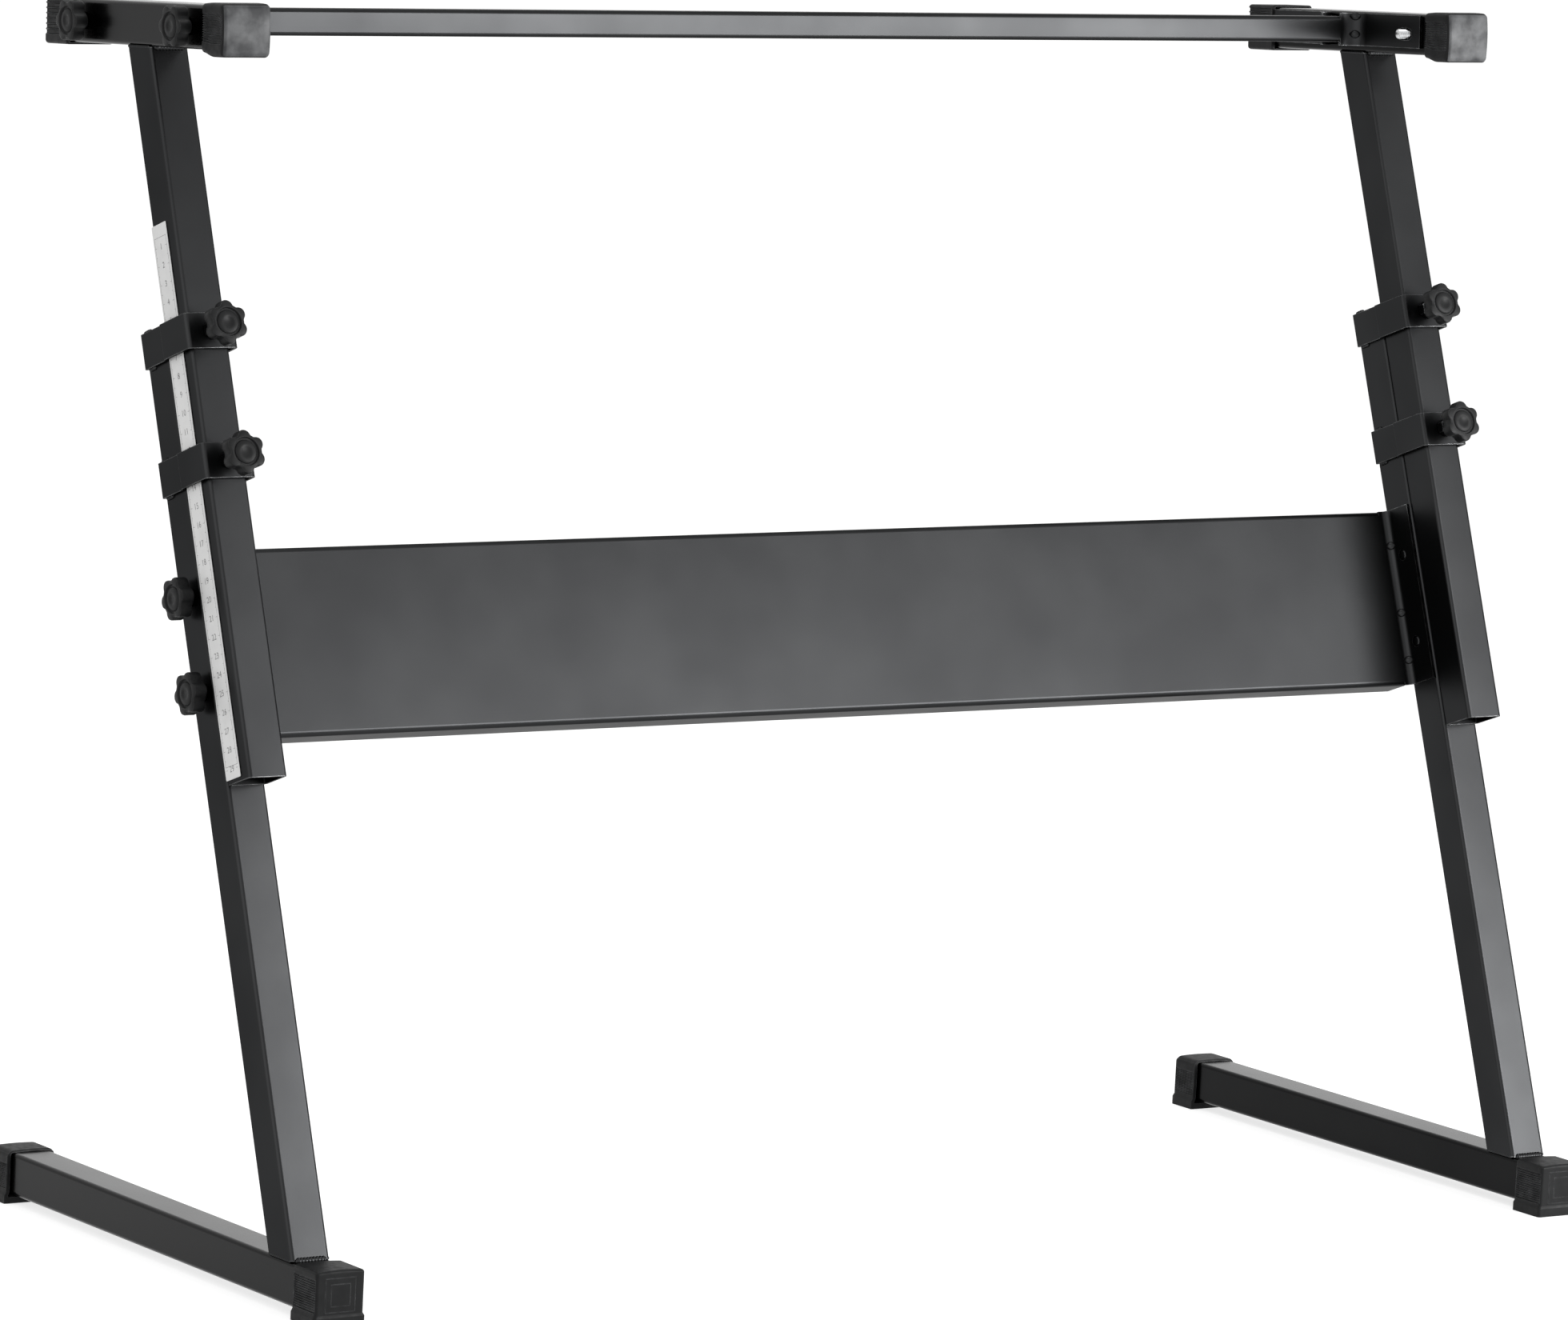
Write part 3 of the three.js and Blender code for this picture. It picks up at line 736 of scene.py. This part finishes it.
rearFoot = {
    "round": 4.2 * mm, "openRound": 0.7 * mm, "crown": 0.5 * mm, "faceCuts": 10,
    "pocketBottom": 4.85 * mm, "mouth": 1.2 * mm, "mouthDepth": 2.6 * mm,
    "sole": 1 * mm, "lip": 5 * mm, "shoulder": 1.8 * mm, "toe": 0.5 * mm,
    "ribs": {"low": 8.8 * mm, "high": 23.6 * mm, "count": 14, "depth": 0.7 * mm, "recess": 0.2 * mm,
             "margins": (1 * mm, 1.9 * mm)},
}

# crownShare, bulgeShare and dropShare are places along the cap: where its top is highest,
# where its end begins to bulge and where its underside has dropped all the way
armFrontCap = {
    "round": 2.6 * mm, "openRound": 0.6 * mm, "crown": 2.4 * mm, "crownShare": 0.55, "faceCuts": 12,
    "pocketBottom": -0.15 * mm, "mouth": 0.5 * mm, "mouthDepth": 1.5 * mm,
    "bulge": 1.9 * mm, "bulgeRoom": 2 * mm, "bulgeShare": 0.75, "flatShare": 0.35,
    "drop": 2.1 * mm, "dropShare": 0.45,
    "ribs": {"low": 4.9 * mm, "high": 20.6 * mm, "count": 12, "depth": 0.75 * mm, "recess": 0.0,
             "margins": (-1 * mm, 2 * mm)},
}

armRearCap = {
    "round": 2.2 * mm, "openRound": 0.6 * mm, "faceCuts": 12,
    "pocketBottom": -0.15 * mm, "mouth": 0.5 * mm, "mouthDepth": 1.5 * mm,
    "ribs": {"low": 3.8 * mm, "high": 24.8 * mm, "count": 7, "depth": 1.1 * mm,
             "start": (1.5 * mm, 2.5 * mm)},
}


def capCuts(cap, half, length, low, high):
    # grid places that follow the rounded edges, the pocket, the ribs, the steps and the lip
    shape, ribs = capShape, cap["ribs"]
    r, openRound, mouth, bottom = cap["round"], cap["openRound"], cap["mouth"], cap["pocketBottom"]
    pocket, pocketEdge, run = shape["pocket"], shape["pocketEdge"], shape["stepRun"]
    top, many = bottom + 2 * pocket, shape["edgeCuts"]
    steps = cap.get("steps", ())
    lines = (cap["lip"], cap["lip"] + cap["shoulder"]) if "lip" in cap else ()
    xs = cuts(*bothWays(
        (half - r, half, many), (0, half - r, cap["faceCuts"]), (pocket - pocketEdge, pocket, 2),
        (pocket, pocket + mouth, 2), *[(place - run, place, 2) for place in steps]))
    ys = cuts((0, openRound, shape["openCuts"]), (openRound, length - r, shape["lengthCuts"]),
              (length - r, length, many))
    zs = cuts(
        (low, low + r, many), (low + r, ribs["low"], many),
        (ribs["low"], ribs["high"], ribs["count"] * shape["cutsPerRib"] + 1),
        (ribs["high"], high - r, many), (high - r, high, many),
        (bottom - mouth, bottom, 2), (bottom, bottom + pocketEdge, 2), (top - pocketEdge, top, 2),
        (top, top + mouth, 2),
        *[(cap["stepMiddle"] + sign * (place - run), cap["stepMiddle"] + sign * place, 2)
          for place in steps for sign in (-1, 1)],
        *[(place, place + shape["lineRun"], 2) for place in lines])
    return xs, ys, zs


def roundCorners(points, half, length, low, high, radius, openRadius):
    # rounds every edge; the edges at the open end get their own, smaller radius
    x, y, z = points.T
    zMiddle, zHalf = (low + high) / 2, (high - low) / 2
    r = np.where(y > length / 2, radius, openRadius)
    qx = np.maximum(np.abs(x) - (half - radius), 0) / radius
    qz = np.maximum(np.abs(z - zMiddle) - (zHalf - radius), 0) / radius
    qy = np.where(y > length / 2, np.maximum(y - (length - r), 0), np.maximum(r - y, 0)) / r
    largest = np.maximum(np.maximum(qx, qy), qz)
    size = np.sqrt(qx ** 2 + qy ** 2 + qz ** 2)
    pull = largest / np.where(size > 0, size, 1)
    newX = np.where(qx > 0, np.sign(x) * (half - radius + qx * pull * radius), x)
    newZ = np.where(qz > 0, zMiddle + np.sign(z - zMiddle) * (zHalf - radius + qz * pull * radius), z)
    newY = np.where(qy > 0, np.where(y > length / 2, length - r + qy * pull * r, r - qy * pull * r), y)
    return np.stack([newX, newY, newZ], axis=1)


def hollow(points, start, cap, length):
    # pushes the open end's points inwards where the tube goes in
    pocket, mouth = capShape["pocket"], cap["mouth"]
    x, y, z = start.T
    away = np.maximum(np.abs(x), np.abs(z - (cap["pocketBottom"] + pocket)))
    taper = np.clip((pocket + mouth - away) / mouth, 0, 1) * cap["mouthDepth"]
    push = np.where(away < pocket - leastCut, length - capShape["endWall"], taper)
    points[:, 1] = np.where((y < hair) & (away < pocket + mouth), push, points[:, 1])
    return points


def ribWave(z, ribs):
    # 0 on a rib's narrow crest and 1 in the wider grooves between, 0 outside the ribbed height
    phase = (z - ribs["low"]) / (ribs["high"] - ribs["low"]) * ribs["count"]
    wave = 1 - np.maximum(np.cos(2 * np.pi * phase), 0) ** capShape["crestPower"]
    return np.where((z > ribs["low"]) & (z < ribs["high"]), wave, 0)


def sideRibs(points, start, cap, half, length):
    # sinks a ribbed panel into both side walls
    ribs, run, slack = cap["ribs"], capShape["ribRun"], capShape["ribSlack"]
    x, y, z = start.T
    near, far = ribs["margins"][0], length - ribs["margins"][1]
    inY = ease(y, near, near + run) * (1 - ease(y, far - run, far))
    inZ = np.where((z > ribs["low"] - slack) & (z < ribs["high"] + slack), 1, 0)
    depth = inY * inZ * (ribs["recess"] + ribs["depth"] * ribWave(z, ribs))
    points[:, 0] -= np.where(np.abs(x) > half - hair, np.sign(x) * depth, 0)
    return points


def footForm(start, cap, half, length, low, high):
    # a foot cap: stepped end face, soles that flare, and a top that falls off to the sides
    points = roundCorners(start, half, length, low - cap["round"], high, cap["round"], cap["openRound"])
    points = sideRibs(points, start, cap, half, length)
    x, y, z = start.T
    for place in cap.get("steps", ()):
        away = np.maximum(np.abs(x), np.abs(z - cap["stepMiddle"]))
        rise = cap["stepHeight"] * (1 - ease(away, place - capShape["stepRun"], place))
        points[:, 1] += np.where(y > length - hair, rise, 0)
    flare = np.clip((cap["lip"] + cap["shoulder"] - z) / cap["shoulder"], 0, 1)
    points[:, 0] *= 1 + flare * cap["sole"] / half
    points[:, 1] += flare * cap["toe"] * np.clip((y - length / 2) / (length / 2), 0, 1)
    nearTop = ease(z, high - capShape["domeDepth"], high)
    dome = np.clip(1 - (x / half) ** 2, 0, 1) * nearTop
    points[:, 2] -= cap["crown"] * (1 - dome) * nearTop
    return hollow(points, start, cap, length)


def armFrontForm(start, cap, half, length, low, high):
    # a front arm cap: bulging end face, and an underside that drops away from the open end
    points = roundCorners(start, half, length, low, high, cap["round"], cap["openRound"])
    points = sideRibs(points, start, cap, half, length)
    x, y, z = start.T
    along = np.clip(y / length, 0, 1)
    height = (z - (low + high) / 2) / ((high - low) / 2)
    swell = (1 - height ** 2) * (1 - cap["flatShare"] * (x / half) ** 2)
    points[:, 1] += cap["bulge"] * swell * ease(along, cap["bulgeShare"], 1)
    points[:, 2] -= cap["drop"] * ease(along, 0, cap["dropShare"]) * np.clip(-height, 0, 1)
    points[:, 2] -= cap["crown"] * np.clip(height, 0, 1) * (along - cap["crownShare"]) ** 2
    return hollow(points, start, cap, length)


def armRearForm(start, cap, half, length, low, high):
    # a rear arm cap: ribs round the sides and over the end face
    points = roundCorners(start, half, length, low, high, cap["round"], cap["openRound"])
    x, y, z = start.T
    sink = cap["ribs"]["depth"] * ribWave(z, cap["ribs"]) * ease(y, *cap["ribs"]["start"])
    points[:, 0] *= 1 - sink / half * (np.abs(x) > half - hair)
    points[:, 1] -= sink * (y > length - hair)
    return hollow(points, start, cap, length)


def addCap(node, name, cap, form, outward, upward, heights, body, faceMaterial):
    # heights are the zero that the cap's sizes count from, and its bottom and top above it
    zero, low, high = heights
    half = halfSpan(node, across) - cap.get("sole", 0)
    near, far = reach(node, outward)
    length = far - near - cap.get("toe", 0) - cap.get("bulgeRoom", 0)
    start, faces, atEnd = gridBox(*capCuts(cap, half, length, low, high))
    points = form(start, cap, half, length, low, high)
    origin = across * middle(node, across) + outward * near + upward * zero
    local = frameAt(origin, outward.cross(upward), outward, upward)
    piece = addPiece(name, (points, faces), local, body, [capPlastic, faceMaterial],
                     capShape["sharpAngle"], atEnd)
    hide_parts(node)


for side in sides:
    for end, cap, outward in (("front", frontFoot, -back), ("rear", rearFoot, back)):
        node = f"foot_{end}_{side}"
        heights = (0, 0, reach(node, up)[1])
        addCap(node, f"foot_{end}_moulding_{side}", cap, footForm, outward, up,
               heights, "base_frame", capPlastic)
    underArm = reach(f"arm_tube_{side}", armUp)[0]
    capLow, capHigh = reach(f"arm_cap_rear_{side}", armUp)
    heights = (underArm, capLow - underArm, capHigh - underArm)
    # the end faces get the paler material: scuffs and painted light from the front
    addCap(f"arm_cap_front_{side}", f"arm_front_moulding_{side}", armFrontCap, armFrontForm, -armBack, armUp,
           heights, "carriage", scuffedAndLitFace)
    addCap(f"arm_cap_rear_{side}", f"arm_rear_moulding_{side}", armRearCap, armRearForm, armBack, armUp,
           heights, "carriage", capPlastic)
print("caps made")


# Height scales: a white strip with printed lines, ticks and plain numbers

scalePrint = {
    "count": 29,
    "pitch": 10.64 * mm,
    "firstShare": 0.35,  # of the pitch, from the margin to the first number
    "margin": 9.2 * mm,
    "lineWidth": 0.2 * mm,
    "border": 1.5 * mm,
    "tick": 1.8 * mm,
    "halfTick": 0.9 * mm,
    "digitHeight": 3.5 * mm,
    "digitShare": 0.7,  # a digit's height as a share of the letters' size
    "curveSteps": 3,
    "ink": 0.03 * mm,
    "corner": 0.6 * mm,
    "cornerSteps": 4,
    "edgeIn": 0.12 * mm,
    "edgeShare": 0.7,
    "sharpAngle": 30,
}


def boxParts(x0, x1, y0, y1, z0, z1):
    points = [(x, y, z) for x in (x0, x1) for y in (y0, y1) for z in (z0, z1)]
    faces = [(0, 1, 3, 2), (4, 6, 7, 5), (0, 4, 5, 1), (2, 3, 7, 6), (0, 2, 6, 4), (1, 5, 7, 3)]
    return points, faces


def numberParts(text, thickness, y, z):
    # a number's solid digits, centred at x 0 and the given y and z
    curve = bpy.data.curves.new("number", "FONT")
    curve.body = text
    curve.size = scalePrint["digitHeight"] / scalePrint["digitShare"]
    curve.align_x = "CENTER"
    curve.align_y = "CENTER"
    curve.extrude = thickness / 2
    curve.resolution_u = scalePrint["curveSteps"]
    holder = addObject("number", curve)
    bpy.context.view_layer.update()
    shape = holder.to_mesh()
    points = [(vertex.co.x, vertex.co.y + y, vertex.co.z + z) for vertex in shape.vertices]
    faces = [tuple(polygon.vertices) for polygon in shape.polygons]
    holder.to_mesh_clear()
    bpy.data.objects.remove(holder)
    bpy.data.curves.remove(curve)
    return points, faces


def printParts(halfWidth, halfLength, top):
    # two long lines, an end line each way, ticks on both sides and a number at each whole tick
    look = scalePrint
    line, ink, tick = look["lineWidth"] / 2, look["ink"], look["tick"]
    edge = halfWidth - look["border"]
    first = halfLength - look["margin"]
    parts = []
    for x in (-edge, edge):
        parts.append(boxParts(x - line, x + line, -first - tick, first + tick, top, top + ink))
    for y in (-first - tick, first + tick):
        parts.append(boxParts(-edge, edge, y - line, y + line, top, top + ink))
    for i in range(look["count"]):
        y = first - (i + look["firstShare"]) * look["pitch"]
        for sign in (-1, 1):
            ends = sorted((sign * edge, sign * (edge - tick)))
            parts.append(boxParts(*ends, y - line, y + line, top, top + ink))
            if i < look["count"] - 1:
                ends = sorted((sign * edge, sign * (edge - look["halfTick"])))
                half = y - look["pitch"] / 2
                parts.append(boxParts(*ends, half - line, half + line, top, top + ink))
        parts.append(numberParts(str(i + 1), ink, y, top + ink / 2))
    return gather(parts)


def stripParts(halfWidth, halfLength, thickness):
    # a thin strip with round corners and softened upper edges
    shape = scalePrint
    r, steps = shape["corner"], shape["cornerSteps"]
    rings = []
    for inset, z in ((0, 0), (0, shape["edgeShare"] * thickness), (shape["edgeIn"], thickness)):
        x, y = halfWidth - inset - r, halfLength - inset - r
        ring = []
        for quarter, (centreX, centreY) in enumerate(((x, y), (-x, y), (-x, -y), (x, -y))):
            for step in range(steps + 1):
                angle = math.pi / 2 * (quarter + step / steps)
                ring.append((centreX + r * math.cos(angle), centreY + r * math.sin(angle), z))
        rings.append(ring)
    return ringSurface(rings)


def addScale(side, out):
    node = f"height_scale_{side}"
    outward = across * out
    low, high = reach(node, outward)
    halfWidth, halfLength = halfSpan(node, postBack), halfSpan(node, postUp)
    origin = outward * low + postUp * middle(node, postUp) + postBack * middle(node, postBack)
    local = frameAt(origin, postBack * out, postUp, outward)
    strip = addPiece(f"scale_strip_{side}", stripParts(halfWidth, halfLength, high - low), local, "carriage",
                     [stripWhite], scalePrint["sharpAngle"])
    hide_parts(node)
    addPiece(f"scale_print_{side}", printParts(halfWidth, halfLength, high - low), local, "carriage",
             [printInk], scalePrint["sharpAngle"])


for side, out in sides.items():
    addScale(side, out)
print("height scales made")


# Weld beads

weldShape = {
    "filletRadius": 2.0 * mm,
    "seamRadius": 0.9 * mm,
    "lapRadius": 1.5 * mm,
    "lapEnds": (9 * mm, 1.5 * mm),  # from the bracket's rear edge
    "filletShort": 2.5 * mm,  # from the tube's sides
    "seamIn": 0.55 * mm,
    "seamShort": 1.2 * mm,
    "rippleLength": 2.0 * mm,
    "ripple": 0.09,
    "unevenness": 0.03,
    "taper": 1.5,  # how many radii a bead's end takes to swell
    "endSwell": 0.25,
    "step": 0.4 * mm,
    "sides": 10,
    "leastSteps": 4,
    "edgeDepth": 0.05 * mm,
    "sharpAngle": 60,
}
random = np.random.default_rng(11)  # the beads come out the same each time


def beadParts(start, end, radius):
    # a rippled bead with rounded ends
    shape = weldShape
    run = end - start
    length = run.length
    along = run.normalized()
    aside = along.orthogonal().normalized()
    other = along.cross(aside)
    count = max(int(length / shape["step"]), shape["leastSteps"])
    phase = random.uniform(0, 1)
    rings = []
    for i in range(count + 1):
        distance = i / count * length
        ripple = 1 + shape["ripple"] * math.sin(2 * math.pi * (distance / shape["rippleLength"] + phase))
        nearEnd = max(min(distance, length - distance), 0)
        taper = min(1, math.sqrt(nearEnd / (shape["taper"] * radius)) + shape["endSwell"])
        r = radius * ripple * taper * (1 + random.uniform(-shape["unevenness"], shape["unevenness"]))
        ring = []
        for angle in turnAngles(shape["sides"]):
            offset = aside * (r * math.cos(angle)) + other * (r * math.sin(angle))
            ring.append(tuple(start + along * distance + offset))
        rings.append(ring)
    return ringSurface(rings)


def addWelds(name, parts, body):
    addPiece(name, gather(parts), identity, body, [powderCoat], weldShape["sharpAngle"])


def edgeMiddle(node, upAxis, sideAxis):
    # the middle of the node's edge that lies furthest along both directions
    points = [vertex.co for vertex in frame["nodes"][node].data.vertices]
    for axis in (upAxis, sideAxis):
        limit = max(point.dot(axis) for point in points) - weldShape["edgeDepth"]
        points = [point for point in points if point.dot(axis) > limit]
    low, high = min(point.x for point in points), max(point.x for point in points)
    return Vector(((low + high) / 2, points[0].y, points[0].z))


def addJointWelds(name, node, body, upAxis, sideAxis):
    # fillets before and behind a post's end, and thin seams along its sides
    shape = weldShape
    near, far = edgeMiddle(node, upAxis, -sideAxis), edgeMiddle(node, upAxis, sideAxis)
    halfWidth = halfSpan(node, across)
    flat = across * (halfWidth - shape["filletShort"])
    parts = [beadParts(place - flat, place + flat, shape["filletRadius"]) for place in (near, far)]
    inset = (far - near).normalized() * shape["seamShort"]
    for sign in (-1, 1):
        edge = across * sign * (halfWidth - shape["seamIn"])
        parts.append(beadParts(near + edge + inset, far + edge - inset, shape["seamRadius"]))
    addWelds(name, parts, body)


def addBracketWelds(side):
    # a short bead at each end of the brackets' laps on the lower post
    lapStart, lapEnd = weldShape["lapEnds"]
    parts = []
    for name in ("clamp_upper", "clamp_lower"):
        node = f"{name}_bracket_{side}"
        rear = reach(node, postBack)[1]
        for edge in reach(node, postUp):
            for x in reach(f"lower_post_{side}", across):
                start = across * x + postUp * edge + postBack * (rear - lapStart)
                parts.append(beadParts(start, start + postBack * (lapStart - lapEnd), weldShape["lapRadius"]))
    addWelds(f"bracket_welds_{side}", parts, "base_frame")


for side in sides:
    addJointWelds(f"arm_weld_{side}", f"upper_post_{side}", "carriage", armUp, armBack)
    addJointWelds(f"base_weld_{side}", f"lower_post_{side}", "base_frame", -up, back)
    addBracketWelds(side)
print("welds made")


# Pressed darts that stiffen the bends of the crossbar and the panel

dartShape = {
    "length": 7 * mm,
    "width": 5 * mm,
    "depth": 1.6 * mm,
    "endShare": 0.02,
    "swellPower": 0.7,
    "steps": 16,
    "rings": 15,
    "sharpAngle": 60,
}

# Places from the upper panel knob and the front arm knob, which sit on the flanges
panelDarts = {
    "knob": "panel_upper",
    "in": 3 * mm,
    "back": 8 * mm,
    "up": (7.4 * mm, -34.6 * mm, -64.1 * mm),
}

crossbarDarts = {
    "knob": "arm_front",
    "in": 4.8 * mm,
    "back": 45.6 * mm,
    "up": (9.5 * mm, -1.5 * mm),
}


def dartParts(centre, along, upward, outward):
    # a teardrop ridge that lies across a bend, along its diagonal
    shape = dartShape
    rings = []
    for i in range(shape["rings"]):
        share = i / (shape["rings"] - 1)
        middleLine = centre + along * ((share - 0.5) * shape["length"])
        inside = min(max(share, shape["endShare"]), 1 - shape["endShare"])
        swell = math.sin(math.pi * inside) ** shape["swellPower"]
        ring = []
        for angle in turnAngles(shape["steps"]):
            aside = upward * (math.cos(angle) * shape["width"] / 2 * swell)
            rise = outward * (math.sin(angle) * shape["depth"] * swell)
            ring.append(tuple(middleLine + aside + rise))
        rings.append(ring)
    return ringSurface(rings)


def addDarts(name, darts, node, backAxis, upAxis, body):
    parts = []
    for side, out in sides.items():
        knob = knobPlace(f"{darts['knob']}_{side}")
        flange = reach(node, across * out)[1]
        for rise in darts["up"]:
            centre = across * out * (flange - darts["in"])
            centre += backAxis * (knob.dot(backAxis) + darts["back"]) + upAxis * (knob.dot(upAxis) + rise)
            along = (across * out - backAxis).normalized()
            parts.append(dartParts(centre, along, upAxis, -(across * out + backAxis).normalized()))
    addPiece(name, gather(parts), identity, body, [powderCoat], dartShape["sharpAngle"])


addDarts("panel_darts", panelDarts, "lower_panel", postBack, postUp, "base_frame")
addDarts("crossbar_darts", crossbarDarts, "crossbar", armBack, armUp, "carriage")
print("darts made")


# Camera at the photograph's viewing angle

cameraView = {
    "place": (-2.82045, -4.14205, 1.01970),
    "yaw": math.radians(33.977),
    "pitch": math.radians(7.884),
    "roll": math.radians(2.855),
    "lens": 197.48,
    "sensor": 36,
    "clip": (0.1, 100),
}


def addCamera():
    view = cameraView
    yaw, pitch, roll = view["yaw"], view["pitch"], view["roll"]
    forward = Vector((math.sin(yaw) * math.cos(pitch), math.cos(yaw) * math.cos(pitch), -math.sin(pitch)))
    right = Vector((math.cos(yaw), -math.sin(yaw), 0))
    upward = right.cross(forward)
    rolledRight = right * math.cos(roll) + upward * math.sin(roll)
    rolledUp = upward * math.cos(roll) - right * math.sin(roll)
    data = bpy.data.cameras.new("camera")
    data.lens = view["lens"]
    data.sensor_width = view["sensor"]
    data.sensor_fit = "HORIZONTAL"
    data.clip_start, data.clip_end = view["clip"]
    camera = addObject("camera", data)
    camera.matrix_world = frameAt(Vector(view["place"]), rolledRight, rolledUp, -forward)
    bpy.context.scene.camera = camera


addCamera()


# Floor, world and soft lamps

studio = {
    "floorSize": 60,
    "floorColour": (0.5, 0.5, 0.5),
    "floorGlow": 0.72,
    "worldDiffuse": 0.66,
    "softbox": {"place": (1.5, -1.9, 0.72), "aim": (1.5, 0.0, 0.72), "size": (1.74, 0.98), "radiance": 14.9,
                "roll": math.radians(-5)},
    "fill": {"place": (-2.2, -1.2, 1.0), "aim": (-0.2, 0.0, 0.4), "size": (2.4, 2.0), "radiance": 0.8},
    "top": {"place": (-0.2, 0.4, 2.6), "aim": (0.0, 0.0, 0.3), "size": (1.6, 1.6), "radiance": 1.6},
}


def seenRays(tree):
    # 1 for camera, glossy and transmission rays, 0 for light on the object
    path = addNode(tree, "ShaderNodeLightPath")
    first = addNode(tree, "ShaderNodeMath", operation="MAXIMUM")
    second = addNode(tree, "ShaderNodeMath", operation="MAXIMUM")
    tree.links.new(path.outputs["Is Camera Ray"], first.inputs[0])
    tree.links.new(path.outputs["Is Glossy Ray"], first.inputs[1])
    tree.links.new(first.outputs["Value"], second.inputs[0])
    tree.links.new(path.outputs["Is Transmission Ray"], second.inputs[1])
    return second.outputs["Value"]


def addFloor():
    half = studio["floorSize"] / 2
    corners = [(-half, -half, 0), (half, -half, 0), (half, half, 0), (-half, half, 0)]
    mesh = bpy.data.meshes.new("floor")
    mesh.from_pydata(corners, [], [(0, 1, 2, 3)])
    floor = addObject("floor", mesh)
    material = bpy.data.materials.new("paleFloor")
    material.use_nodes = True
    tree = material.node_tree
    tree.nodes.clear()
    diffuse = addNode(tree, "ShaderNodeBsdfDiffuse", Color=(*studio["floorColour"], 1))
    glow = addNode(tree, "ShaderNodeEmission", Strength=studio["floorGlow"])
    both = addNode(tree, "ShaderNodeAddShader")
    choose = addNode(tree, "ShaderNodeMixShader")
    output = addNode(tree, "ShaderNodeOutputMaterial")
    tree.links.new(diffuse.outputs["BSDF"], both.inputs[0])
    tree.links.new(glow.outputs["Emission"], both.inputs[1])
    tree.links.new(seenRays(tree), choose.inputs["Fac"])
    tree.links.new(diffuse.outputs["BSDF"], choose.inputs[1])
    tree.links.new(both.outputs["Shader"], choose.inputs[2])
    tree.links.new(choose.outputs["Shader"], output.inputs["Surface"])
    mesh.materials.append(material)


def addWorld():
    world = bpy.data.worlds.new("paleRoom")
    world.use_nodes = True
    tree = world.node_tree
    background = tree.nodes["Background"]
    background.inputs["Color"].default_value = (1, 1, 1, 1)
    strength = spread(tree, seenRays(tree), studio["worldDiffuse"], 1, (0, 1))
    tree.links.new(strength, background.inputs["Strength"])
    bpy.context.scene.world = world


def addLamp(name):
    lamp = studio[name]
    width, height = lamp["size"]
    data = bpy.data.lights.new(name, "AREA")
    data.shape = "RECTANGLE"
    data.size, data.size_y = width, height
    data.energy = lamp["radiance"] * math.pi * width * height
    place, aim = Vector(lamp["place"]), Vector(lamp["aim"])
    light = addObject(name, data)
    light.location = place
    towards = (aim - place).to_track_quat("-Z", "Y").to_matrix()
    light.rotation_euler = (towards @ Matrix.Rotation(lamp.get("roll", 0), 3, "Z")).to_euler()
    light.visible_camera = False


addFloor()
addWorld()
for name in ("softbox", "fill", "top"):
    addLamp(name)
bpy.context.scene.view_settings.view_transform = "Standard"
print("camera, floor and lights set")
